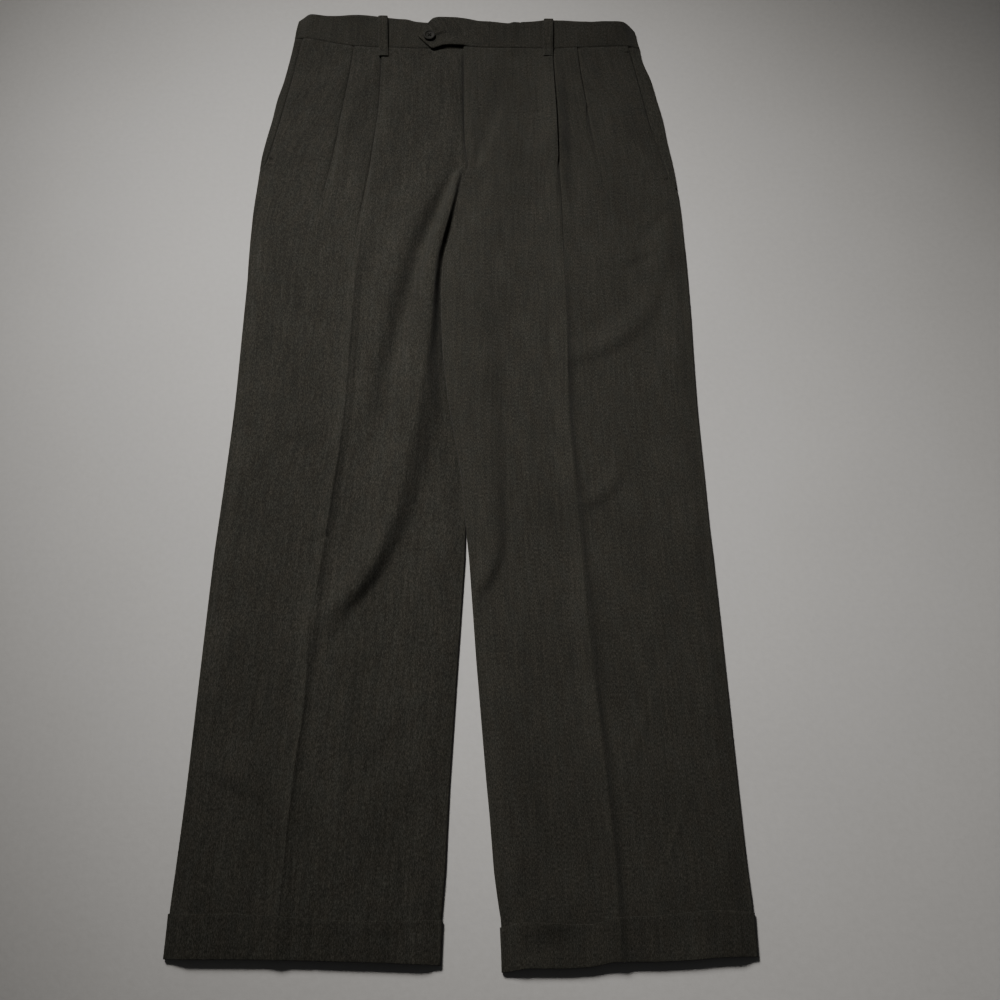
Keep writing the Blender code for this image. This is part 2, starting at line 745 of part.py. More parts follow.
def add_wall(name, outside, inside, material, ring=False):
    """A closed wall between two grids of points. A ring joins each row's last point to its first."""
    mesh = bmesh.new()
    grids = [[[mesh.verts.new(point) for point in row] for row in grid] for grid in (outside, inside)]
    rows, columns = len(outside), len(outside[0])
    spans = range(columns if ring else columns - 1)
    for grid in grids:
        for i in range(rows - 1):
            for j in spans:
                k = (j + 1) % columns
                mesh.faces.new((grid[i][j], grid[i][k], grid[i + 1][k], grid[i + 1][j]))
    outer, inner = grids
    for i in (0, rows - 1):
        for j in spans:
            k = (j + 1) % columns
            mesh.faces.new((outer[i][j], outer[i][k], inner[i][k], inner[i][j]))
    if not ring:
        for j in (0, columns - 1):
            for i in range(rows - 1):
                mesh.faces.new((outer[i][j], outer[i + 1][j], inner[i + 1][j], inner[i][j]))
    return add_object(name, mesh, material)


def add_panel(name, leg, stations, path, material, back=False):
    half = CLOTH / 2
    outside = surface_rows(leg, stations, path, half, back)
    inside = surface_rows(leg, stations, path, -half, back)
    return add_wall(name, outside, inside, material)


# The points of a front's path that a cuff keeps: it lies flatter, so it needs fewer
CUFF_POINTS = (0, 1, 2, 3, 4, 6, 8, 12, 15, 17, 19, 22, 25, 27, 28, 30, 33, 34, 35, 36, 37, 38)


def cuff_path(leg, up):
    """A cuff's path: the leg's own closed outline moved out by the gap and half of each wall."""
    out = CLOTH + SEAM_GAP
    front = front_path(leg, up)
    back = back_path(leg, up)
    loop = [front[k] for k in CUFF_POINTS] + back[::-1]
    return [(a + out * n_in, h + out * n_up, n_in, n_up) for a, h, n_in, n_up in loop]


def add_cuff(name, leg, material):
    half = CLOTH / 2
    outside = surface_rows(leg, CUFF_STATIONS, cuff_path, half)
    inside = surface_rows(leg, CUFF_STATIONS, cuff_path, -half)
    return add_wall(name, outside, inside, material, ring=True)


def band_level(across, part):
    """Middle of the front band's wall: part is 0 at its seam and 1 at its top edge."""
    up = 1050 + 40 * part
    from_side = min(across - side_edge("right", up), side_edge("left", up) - across)
    share = soft_step((from_side - BAND_EDGE_RADIUS) / BAND_SOFT_EDGE)
    rise = BAND_RISE_BOTTOM + (BAND_RISE_TOP - BAND_RISE_BOTTOM) * part
    wave = BAND_WAVE * part * (math.sin(across / 27.0 + 1.0) + 0.5 * math.sin(across / 12.0))
    return BAND_LEVEL + (rise + wave) * share


def right_band_level(across, part):
    return band_level(across, part) - at(BAND_DROP, "depth", across, key="across")


def tab_level(across, part):
    return right_band_level(across, part) + TAB_STEP


def band_row(part, across, back):
    seam, top = (BACK_WAIST_SEAM, BACK_BAND_TOP) if back else (WAIST_SEAM, BAND_TOP)
    low = at(seam, "up", across, key="across") + SEAM_GAP
    high = at(top, "up", across, key="across")
    return low + (high - low) * part


def band_section(leg, part, level, end):
    """Points round one half of the band at one row: front, side edge and back, with normals."""
    sign = SIGN[leg]
    up = 1050 + 40 * part
    edge = side_edge(leg, up)
    radius = BAND_EDGE_RADIUS - BAND_CLOTH / 2
    centre = edge + sign * BAND_EDGE_RADIUS
    points = []
    for across in between(end, centre, BAND_FRONT_SHARES):
        slope = level(across + 0.5, part) - level(across - 0.5, part)
        size = math.hypot(1.0, slope)
        points.append((across, level(across, part), -slope / size, 1 / size, False))
    for degrees in BAND_EDGE_ANGLES:
        angle = math.radians(degrees)
        out, over = -sign * math.cos(angle), math.sin(angle)
        points.append((centre + radius * out, BAND_EDGE_RADIUS + radius * over, out, over, degrees < 0))
    back_end = at(CENTRE_BACK, "across", up) - sign * SEAM_GAP / 2
    for across in between(centre, back_end, BAND_BACK_SHARES):
        points.append((across, BAND_CLOTH / 2, 0.0, -1.0, True))
    return points


def add_band(name, leg, level, end, material):
    grids = []
    for offset in (BAND_CLOTH / 2, -BAND_CLOTH / 2):
        grid = []
        for part in BAND_PARTS:
            row = []
            for across, height, n_in, n_up, back in band_section(leg, part, level, end):
                place = band_row(part, across, back)
                row.append((across + offset * n_in, place, height + offset * n_up))
            grid.append(row)
        grids.append(grid)
    return add_wall(name, grids[0], grids[1], material)


def add_tab(material):
    """The pointed end of the left half of the band, over the right half."""
    grids = []
    for offset in (BAND_CLOTH / 2, -BAND_CLOTH / 2):
        grid = []
        for across in TAB["across"]:
            low = at(TAB, "bottom", across, key="across")
            high = at(TAB, "top", across, key="across")
            row = []
            for part in BAND_PARTS:
                place = low + (high - low) * part
                whole = (place - TAB_BASE) / (at(BAND_TOP, "up", across, key="across") - TAB_BASE)
                row.append((across, place, tab_level(across, whole) + offset))
            grid.append(row)
        grids.append(grid)
    return add_wall("waist_tab", grids[0], grids[1], material)


def highest_on_path(points, inward):
    """The path's greatest height at an inward place, over all the layers that cross it."""
    heights = [0.0]
    for (start_in, start_up, *_), (end_in, end_up, *_) in zip(points, points[1:]):
        if min(start_in, end_in) <= inward <= max(start_in, end_in):
            heights.append(max(start_up, end_up))
    return max(heights)


def outer_height(across, up):
    """The highest cloth at a point near the waist: the band, or the pleated front below it."""
    seam = at(WAIST_SEAM, "up", across, key="across")
    top = at(BAND_TOP, "up", across, key="across")
    if up >= seam:
        return band_level(across, min((up - seam) / (top - seam), 1.0)) + BAND_CLOTH / 2
    leg = "right" if across < 0 else "left"
    return highest_on_path(front_path(leg, 1050 - (seam - up)), across * SIGN[leg]) + CLOTH / 2


def add_loop(name, side, material):
    """A belt loop: a strip from above the band's top edge to below its seam, arched off the band."""
    top_across, bottom_across = LOOP_ACROSS[side]
    top_up = at(BAND_TOP, "up", top_across, key="across") + LOOP_TOP
    heights, places = [], []
    for part, clear in zip(LOOP_ARCH["part"], LOOP_ARCH["clear"]):
        up = top_up + (LOOP_BOTTOM_UP - top_up) * part
        across = top_across + (bottom_across - top_across) * part
        under = max(outer_height(across + shift, up) for shift in (-LOOP_WIDTH / 2, 0, LOOP_WIDTH / 2))
        places.append((across, up))
        heights.append(under + SEAM_GAP + CLOTH / 2 + LOOP_CLEAR * clear)
    grids = []
    for offset in (CLOTH / 2, -CLOTH / 2):
        grid = []
        for k, (across, up) in enumerate(places):
            before, after = max(k - 1, 0), min(k + 1, len(places) - 1)
            run = places[after][1] - places[before][1]
            slope = (heights[after] - heights[before]) / run
            size = math.hypot(1.0, slope)
            point_up, height = up - offset * slope / size, heights[k] + offset / size
            grid.append([(across + shift, point_up, height) for shift in (-LOOP_WIDTH / 2, LOOP_WIDTH / 2)])
        grids.append(grid)
    return add_wall(name, grids[0], grids[1], material)


def add_button(material):
    """A turned four-hole button, tilted to lie on the tab."""
    part = (BUTTON_UP - TAB_BASE) / (at(BAND_TOP, "up", BUTTON_ACROSS, key="across") - TAB_BASE)
    step = 0.1
    slope_up = (tab_level(BUTTON_ACROSS, part + step) - tab_level(BUTTON_ACROSS, part - step)) / (
        2 * step * (at(BAND_TOP, "up", BUTTON_ACROSS, key="across") - TAB_BASE)
    )
    slope_across = tab_level(BUTTON_ACROSS + 0.5, part) - tab_level(BUTTON_ACROSS - 0.5, part)
    highest = max(
        tab_level(BUTTON_ACROSS + reach, part) - slope_across * reach for reach in (-6.0, 0.0, 6.0)
    )
    base = highest + BAND_CLOTH / 2 + SEAM_GAP
    mesh = bmesh.new()
    rings = []
    for radius, height in zip(BUTTON_PROFILE["radius"], BUTTON_PROFILE["height"]):
        if radius == 0:
            rings.append([mesh.verts.new((0, 0, height))])
            continue
        angles = [2 * math.pi * k / BUTTON_SEGMENTS for k in range(BUTTON_SEGMENTS)]
        rings.append([mesh.verts.new((radius * math.cos(a), radius * math.sin(a), height)) for a in angles])
    for lower, upper in zip(rings, rings[1:]):
        for k in range(BUTTON_SEGMENTS):
            n = (k + 1) % BUTTON_SEGMENTS
            around = ((lower, k), (lower, n), (upper, n), (upper, k))
            corners = [ring[place % len(ring)] for ring, place in around]
            mesh.faces.new(list(dict.fromkeys(corners)))
    for vertex in mesh.verts:
        x, y, z = vertex.co
        tilt = slope_across * x + slope_up * y
        vertex.co = (BUTTON_ACROSS + x, BUTTON_UP + y, base + z + tilt)
    button = add_object("button", mesh, material)
    for k in range(4):
        angle = math.radians(45 + 90 * k)
        across = BUTTON_ACROSS + BUTTON_HOLE_OFFSET * math.cos(angle) * math.sqrt(2)
        up = BUTTON_UP + BUTTON_HOLE_OFFSET * math.sin(angle) * math.sqrt(2)
        cut_hole(button, across, up, base)
    return button


def cut_hole(button, across, up, base):
    """A thread hole through the button, cut by an upright cylinder."""
    cutter_data = bmesh.new()
    bmesh.ops.create_cone(
        cutter_data, cap_ends=True, segments=10, radius1=BUTTON_HOLE_RADIUS, radius2=BUTTON_HOLE_RADIUS,
        depth=12.0,
    )
    bmesh.ops.translate(cutter_data, verts=cutter_data.verts, vec=(across, up, base))
    cutter = add_object("button_hole_cutter", cutter_data, button.data.materials[0])
    cutter.hide_render = True
    cutter.display_type = "WIRE"
    cut = button.modifiers.new("thread_hole", "BOOLEAN")
    cut.operation = "DIFFERENCE"
    cut.object = cutter


def make_material(name, colour, roughness):
    material = bpy.data.materials.new(name)
    material.use_nodes = True
    shader = material.node_tree.nodes["Principled BSDF"]
    shader.inputs["Base Color"].default_value = (*colour, 1.0)
    shader.inputs["Roughness"].default_value = roughness
    shader.inputs["Metallic"].default_value = 0.0
    return material


def wool(piece):
    return make_material("wool_" + piece, WOOL_COLOUR, WOOL_ROUGHNESS)


def clear_scene():
    for thing in list(bpy.data.objects):
        bpy.data.objects.remove(thing, do_unlink=True)


def main():
    clear_scene()
    for leg in SIGN:
        add_panel("front_" + leg, leg, FRONT_STATIONS, front_path, wool("front_" + leg))
        add_panel("back_" + leg, leg, BACK_STATIONS, back_path, wool("back_" + leg), back=True)
        facing = "pocket_facing_" + leg
        add_panel(facing, leg, FACING_STATIONS[leg], facing_path, wool(facing))
        add_cuff("cuff_" + leg, leg, wool("cuff_" + leg))
        add_loop("belt_loop_" + leg, leg, wool("belt_loop_" + leg))
    add_band("waistband_right", "right", right_band_level, RIGHT_BAND_END, wool("waistband_right"))
    add_band("waistband_left", "left", band_level, TAB_SEAM + SEAM_GAP / 2, wool("waistband_left"))
    add_tab(wool("waist_tab"))
    add_button(make_material("horn_button", HORN_COLOUR, HORN_ROUGHNESS))


main()
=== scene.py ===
"""Pleated dress trousers laid flat on their back: the cloth, its sewing, the button, the floor and the light.

Sizes are in millimetres until a mesh is made. "Across" runs along X to the wearer's left, and "up" along
the leg from the lowest point of the hem. "Inward" is the way from the side seam to the inseam. The edges,
the pleats and the folds keep close to those of the solids, so each piece of cloth lies where its solid
is. The creases, the puckers and the gape of the cuffs are here alone.
"""

import math

import bmesh
import bpy
import numpy as np
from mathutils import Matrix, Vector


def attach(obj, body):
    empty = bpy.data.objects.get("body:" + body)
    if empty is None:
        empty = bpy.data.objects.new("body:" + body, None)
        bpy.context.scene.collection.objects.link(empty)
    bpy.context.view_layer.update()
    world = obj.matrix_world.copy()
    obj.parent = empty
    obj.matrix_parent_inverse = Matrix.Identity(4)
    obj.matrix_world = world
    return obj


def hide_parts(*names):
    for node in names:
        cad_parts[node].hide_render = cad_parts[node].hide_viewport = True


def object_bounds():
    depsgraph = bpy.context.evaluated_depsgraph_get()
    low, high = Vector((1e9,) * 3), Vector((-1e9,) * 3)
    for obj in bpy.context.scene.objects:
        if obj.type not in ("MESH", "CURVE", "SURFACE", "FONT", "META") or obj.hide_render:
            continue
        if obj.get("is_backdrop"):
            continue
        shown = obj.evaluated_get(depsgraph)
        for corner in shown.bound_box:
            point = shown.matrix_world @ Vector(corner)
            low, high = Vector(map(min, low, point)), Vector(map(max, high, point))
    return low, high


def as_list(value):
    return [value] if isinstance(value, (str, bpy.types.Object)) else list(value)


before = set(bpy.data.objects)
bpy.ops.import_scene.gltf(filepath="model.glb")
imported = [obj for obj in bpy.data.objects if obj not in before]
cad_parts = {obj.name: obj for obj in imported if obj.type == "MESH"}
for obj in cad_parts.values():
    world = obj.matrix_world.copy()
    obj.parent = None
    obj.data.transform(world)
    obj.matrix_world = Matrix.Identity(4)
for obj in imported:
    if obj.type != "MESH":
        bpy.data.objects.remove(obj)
cad_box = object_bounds()


def table(columns, rows):
    """The rows of a short table as one array for each named column."""
    return dict(zip(columns, np.array(rows, float).T))


# --- the cloth in general ---

MILLIMETRE = 0.001
LENGTH = 1100.0
FORK = 794.0
SIGN = {"right": 1.0, "left": -1.0}
CLOTH = 0.5  # thickness, finer than the wall that stands for it in the solids
BAND_CLOTH = 1.4
SEAM_GAP = 0.3
PLY_GAP = 0.4  # between layers that lie on each other
EDGE_RADIUS = 1.6  # outer radius of a leg's edge at a seam
BAND_EDGE_RADIUS = 1.9
SEAM_HALF_ANGLE = 24.0  # half of the groove at a seam, in degrees
SOFT_EDGE = 18.0  # width of the slope from a leg's edge to its full height
FLAT_END = 4.5  # width of the last points where an edge is open and lies flat
INSEAM_EASE = 37.0  # length below the fork over which the inseam's edge curls over

# Stations are rows up the leg, from 0 at the hem to the waist seam
WAIST_STATION = 1050.0
WAIST_EASE = 70.0  # length below the waist over which the rows take up the seam's curve
CUFF_STATION = 44.0
HEM_EASE_TOP = 140.0  # below here the rows take up the cuff's slope
LEG_END = 3.0

# --- edges of the garment ---

LEG_EDGES = table(
    ("up", "right_side", "right_inseam", "left_inseam", "left_side"),
    [(0, -257.3, -17.8, 36.0, 257.3), (50, -256.9, -17.4, 34.8, 256.9), (90, -256.0, -14.6, 28.5, 255.4),
     (161, -254.7, -12.1, 21.1, 253.5), (273, -254.3, -6.5, 10.9, 251.0), (375, -253.7, -1.1, 2.9, 248.5),
     (410, -252.8, -0.7, -0.9, 247.2), (460, -251.3, 0.5, -5.1, 246.3), (557, -249.5, 9.0, -22.0, 244.8),
     (617, -250.1, 12.0, -29.0, 245.3), (665, -250.6, 4.0, -31.5, 246.0), (700, -250.9, -8.0, -32.0, 246.0),
     (735, -252.2, -22.0, -30.3, 245.8), (757, -252.7, -26.2, -25.9, 245.2),
     (768, -252.9, -23.4, -23.1, 245.0), (780, -253.0, -20.5, -20.2, 244.8),
     (794, -253.1, -17.6, -17.3, 244.6), (847, -251.4, -19.6, -19.3, 241.5),
     (876, -250.5, -19.6, -19.3, 238.7), (906, -247.2, -19.6, -19.3, 234.7),
     (937, -242.6, -19.6, -19.3, 231.7), (968, -239.1, -19.6, -19.3, 226.3),
     (1000, -232.5, -19.6, -19.3, 220.7), (1032, -227.2, -19.6, -19.3, 211.6),
     (1050, -225.3, -19.6, -19.3, 209.5), (1069, -224.3, -19.6, -19.3, 206.9),
     (1089, -222.5, -19.6, -19.3, 205.4), (1100, -221.0, -19.6, -19.3, 203.0)],
)
FLY = table(
    ("up", "across", "underlap"),
    [(794, -17.3, -0.3), (806, -15.8, -0.3), (827, -12.8, -0.3), (834, -11.8, -0.3), (857, -4.2, -0.3),
     (864, -2.9, 5.0), (880, -5.2, 11.0), (905, -7.9, 20.0), (965, -9.9, 28.0), (1050, -11.0, 32.0)],
)
CENTRE_BACK = table(("up", "across"), [(794, -17.45), (860, -15.0), (1100, -9.0)])
POCKETS = {
    "right": table(
        ("up", "across"), [(864, -244.5), (880, -240.0), (905, -235.6), (974, -225.2), (1050, -213.5)]
    ),
    "left": table(
        ("up", "across"), [(834, 235.6), (886, 222.8), (925, 213.8), (966, 207.2), (1050, 194.0)]
    ),
}
POCKET_END = {"right": 864.0, "left": 834.0}
POCKET_UNDERLAP = 26.0
POCKET_FLARE = 60.0  # length over which a facing widens to its full underlap
POCKET_LEAST_UNDERLAP = 9.0
POCKET_EASE = 10.0  # length over which the side seam turns into the pocket's edge
POCKET_STEP = 1.6  # how far a front stands off at its open edge

# --- pleats ---

PLEAT_COLUMNS = ("up", "across", "depth", "turn", "radius")
PLEATS = {
    ("right", "outer"): table(
        PLEAT_COLUMNS,
        [(0, -203, 0, 0, 2.0), (300, -199, 0, 0, 2.0), (700, -182, 0, 0, 2.0), (800, -175.5, 0, 22, 1.7),
         (870, -165.6, 1, 66, 1.4), (950, -157, 5, 160, 1.0), (1000, -152, 10, 178, 0.85),
         (1050, -148, 14, 180, 0.75)],
    ),
    ("right", "inner"): table(
        PLEAT_COLUMNS,
        [(0, -157, 0, 0, 2.0), (143, -157, 0, 0, 2.0), (292, -148, 0, 0, 2.0), (438, -140, 0, 0, 2.0),
         (553, -131, 0, 0, 2.0), (680, -131.5, 0, 8, 2.0), (760, -130.3, 0, 34, 1.4),
         (800, -126.8, 0, 64, 1.2), (842, -122, 1, 104, 1.1), (880, -118.2, 3, 140, 1.0),
         (917, -115.4, 6, 168, 0.95), (950, -113.2, 8, 176, 0.9), (1000, -112.7, 12, 180, 0.85),
         (1050, -114, 14, 180, 0.75)],
    ),
    ("left", "inner"): table(
        PLEAT_COLUMNS,
        [(0, 139.5, 0, 0, 2.0), (75, 138, 0, 0, 2.0), (215, 128, 0, 0, 2.0), (438, 114, 0, 0, 2.0),
         (554, 107.6, 0, 0, 2.0), (640, 107.8, 0, 10, 1.9), (700, 106.8, 0, 34, 1.7),
         (745, 106.0, 0, 54, 1.5), (800, 105.2, 0, 82, 1.15), (850, 103.6, 0, 128, 1.0),
         (880, 102.8, 1.6, 158, 0.95), (930, 102.2, 7, 172, 0.95), (1000, 100.2, 12, 179, 0.85),
         (1050, 99.0, 14, 180, 0.75)],
    ),
    ("left", "outer"): table(
        PLEAT_COLUMNS,
        [(0, 196, 0, 0, 2.0), (300, 187, 0, 0, 2.0), (600, 169, 0, 0, 2.0), (740, 165, 0, 6, 1.7),
         (800, 160.5, 0, 24, 1.5), (857, 153.4, 0, 30, 1.4), (890, 147.6, 0, 48, 1.15),
         (920, 143.2, 0, 84, 0.85), (940, 140.8, 0, 130, 0.75), (958, 138.6, 0.5, 172, 0.75),
         (985, 135.4, 6, 179, 0.85), (1010, 132.8, 11, 180, 0.85), (1050, 130.0, 14, 180, 0.75)],
    ),
}
PLEAT_SPREAD = 10.5  # width that a pleat's points take up once it has opened out
PLEAT_TIGHTER = 0.42  # the finer cloth turns at radii this much smaller than those above
PLEAT_LEAST_RADIUS = 0.36
PLEAT_EASE = 34.0  # a pleat's rise is eased away over this width
PLEAT_EASE_GROWTH = {"outer": 0.0, "inner": 2.0}  # and over this much more for each millimetre of rise
PLEAT_CLEAR = 2.0  # from this far past it
GROOVE = {"depth": 1.0, "width": 2.4, "shift": 0.6, "fade": 18.0}  # the dip beside a pleat's folded edge
GROOVE_STEPS = np.array([3.0, 2.4, 1.8, 1.3, 0.8, 0.3])  # how far its points lie before the folded edge

# --- broad folds and heights ---

FOLD_COLUMNS = ("up", "across", "height")
FOLDS = [
    {  # the large soft roll beside the fork
        "leg": "right",
        "outward": table(("up", "width"), [(285, 40), (600, 40), (714, 34), (760, 28), (790, 22), (862, 14)]),
        "inward": table(
            ("up", "width"),
            [(285, 14), (361, 18), (403, 22), (457, 27), (549, 26), (610, 18), (651, 12), (697, 7.5),
             (735, 5), (765, 4.4), (793, 4.4), (820, 4.4), (862, 4)],
        ),
        "crest": table(
            FOLD_COLUMNS,
            [(285, -140, 0.0), (315, -125, 2.2), (361, -97, 4.6), (403, -80, 5.9), (457, -66, 7.1),
             (549, -52, 8.2), (610, -46, 8.5), (651, -42.5, 8.6), (697, -40, 8.2), (735, -36.6, 7.2),
             (768, -30, 6.2), (793, -24.6, 5.4), (820, -19.6, 4.4), (845, -15.4, 2.8), (862, -12.5, 0)],
        ),
    },
    {  # a low swell beside the left leg's inseam
        "leg": "left",
        "outward": 24.0,
        "inward": 24.0,
        "crest": table(
            FOLD_COLUMNS, [(340, 40, 0.0), (420, 24, 1.6), (600, 14, 2.4), (720, 10, 2.0), (800, 20, 0.0)]
        ),
    },
    {  # the right leg's pressed crease
        "leg": "right",
        "outward": 17.0,
        "inward": 8.0,
        "crest": table(
            FOLD_COLUMNS,
            [(0, -157, 1.2), (143, -156, 1.5), (292, -149, 1.8), (438, -138, 2.1), (553, -129, 2.3),
             (680, -127, 2.0), (800, -121, 0.0)],
        ),
    },
    {  # the left leg's pressed crease
        "leg": "left",
        "outward": 10.0,
        "inward": 17.0,
        "crest": table(
            FOLD_COLUMNS,
            [(0, 137.5, 1.6), (75, 136, 2.2), (215, 126, 2.8), (438, 112, 3.0), (554, 105.6, 3.0),
             (680, 106, 2.2), (800, 105, 0.0)],
        ),
    },
]
LOFT = table(
    ("up", "height"),
    [(0, 3.8), (60, 3.8), (120, 2.8), (300, 2.8), (600, 2.9), (794, 3.1), (1000, 3.2), (1050, 2.9)],
)
LOFT_CLEAR = 2.0  # the right leg's loft ends this far before the left leg's edge
# The left front is raised over the right one's underlap, from this far up the leg
FLY_STEP = {"start": 834.0, "ease": 23.0, "height": 1.6, "clear": 3.0, "reach": 26.0}
FLY_HIGH = {"height": 2.6, "from": -11.0, "reach": 30.0}  # the left front's top is higher at the fly
# The left leg is raised where it lies on the right one, and a little way past that one's edge
LIFT_START = 4.0
LIFT_EASE = 36.0
LEG_LIFTS = table(("up", "height"), [(340, 0), (410, 3.7), (757, 3.7), (794, 0)])
CUFF_OUT = CLOTH + SEAM_GAP  # how far a cuff's middle lies outside its leg's
CUFF_RAISE = {"up": 52.0, "ease": 70.0}  # the cuff below a leg raises it up to here, and less past it
WAIST_FIT = 22.0  # length over which a front comes level with the band
WAIST_STEP = 0.25  # and then lies this far below the band's face
ENVELOPE_STEP = 1.0  # the pleated cloth's highest level is read at places this far apart,
ENVELOPE_REACH = 1.6  # from the points within this reach,
ENVELOPE_SMOOTH = 5  # and averaged over this many places
FACING_UNDER = {"depth": 1.3, "ease": 6.0}  # at the waist the facing lies below the front that covers it
FACING_DIP = {"depth": 1.6, "width": 3.6, "shift": 0.5}  # the facing's dip beside the pocket's edge
FACING_START = 0.4  # the facing begins this far above the pocket's lower end
LOWEST_FRONT = 1.5 * CLOTH + 0.1  # no crease lowers a front past here, into its back

# --- lines across the garment ---

WAIST_SEAM = table(
    ("across", "up"),
    [(-227, 1067.5), (-222, 1066.6), (-198, 1061.8), (-171, 1055.2), (-142, 1050.4), (-119, 1049),
     (-67, 1047.4), (22, 1048.4), (60, 1048), (89, 1047), (132, 1048.4), (161, 1049.8), (210, 1051)],
)
BACK_WAIST_SEAM = table(("across", "up"), [(-227, 1067.5), (-120, 1063), (0, 1060), (210, 1051)])
BAND_TOP = table(
    ("across", "up"),
    [(-222, 1098), (-209, 1100), (-176, 1096.8), (-147, 1097.4), (-115, 1094.8), (-86, 1092), (-58, 1086.6),
     (-12, 1087.2), (21, 1086.2), (44, 1084.4), (52, 1086.4), (78, 1088.4), (94, 1090.4), (107, 1090),
     (148, 1087.6), (194, 1085.8), (201, 1082.6), (206, 1078)],
)
BACK_BAND_TOP = table(
    ("across", "up"), [(-222, 1098), (-160, 1097), (-80, 1092), (-30, 1089), (60, 1087), (206, 1078)]
)
HEM = table(
    ("across", "up"),
    [(-259, 10.5), (-203, 10.5), (-95, 8.6), (-16, 5.5), (35, 0), (60, 3.4), (86, 3.3), (110, 4.4),
     (137, 8.6), (163, 8.6), (195, 9.7), (230, 12.2), (259, 12.6)],
)
CUFF_TOP = table(
    ("across", "up"),
    [(-259, 47), (-207, 47), (-132, 43), (-97, 41.2), (-16, 41.6), (35, 36), (53, 40), (111, 38.5),
     (139, 44.5), (165, 45.3), (227, 50), (259, 48)],
)

# --- creases that only the cloth shows ---
# A crease is a line with a height at each point, and the widths of its two flanks: "lit" is the flank
# on the far or right side of the garment, and "shade" the one on the near or left side. Lines run up
# the leg or toward +X. A negative height is a trough. A pressed crease has a sharp line.

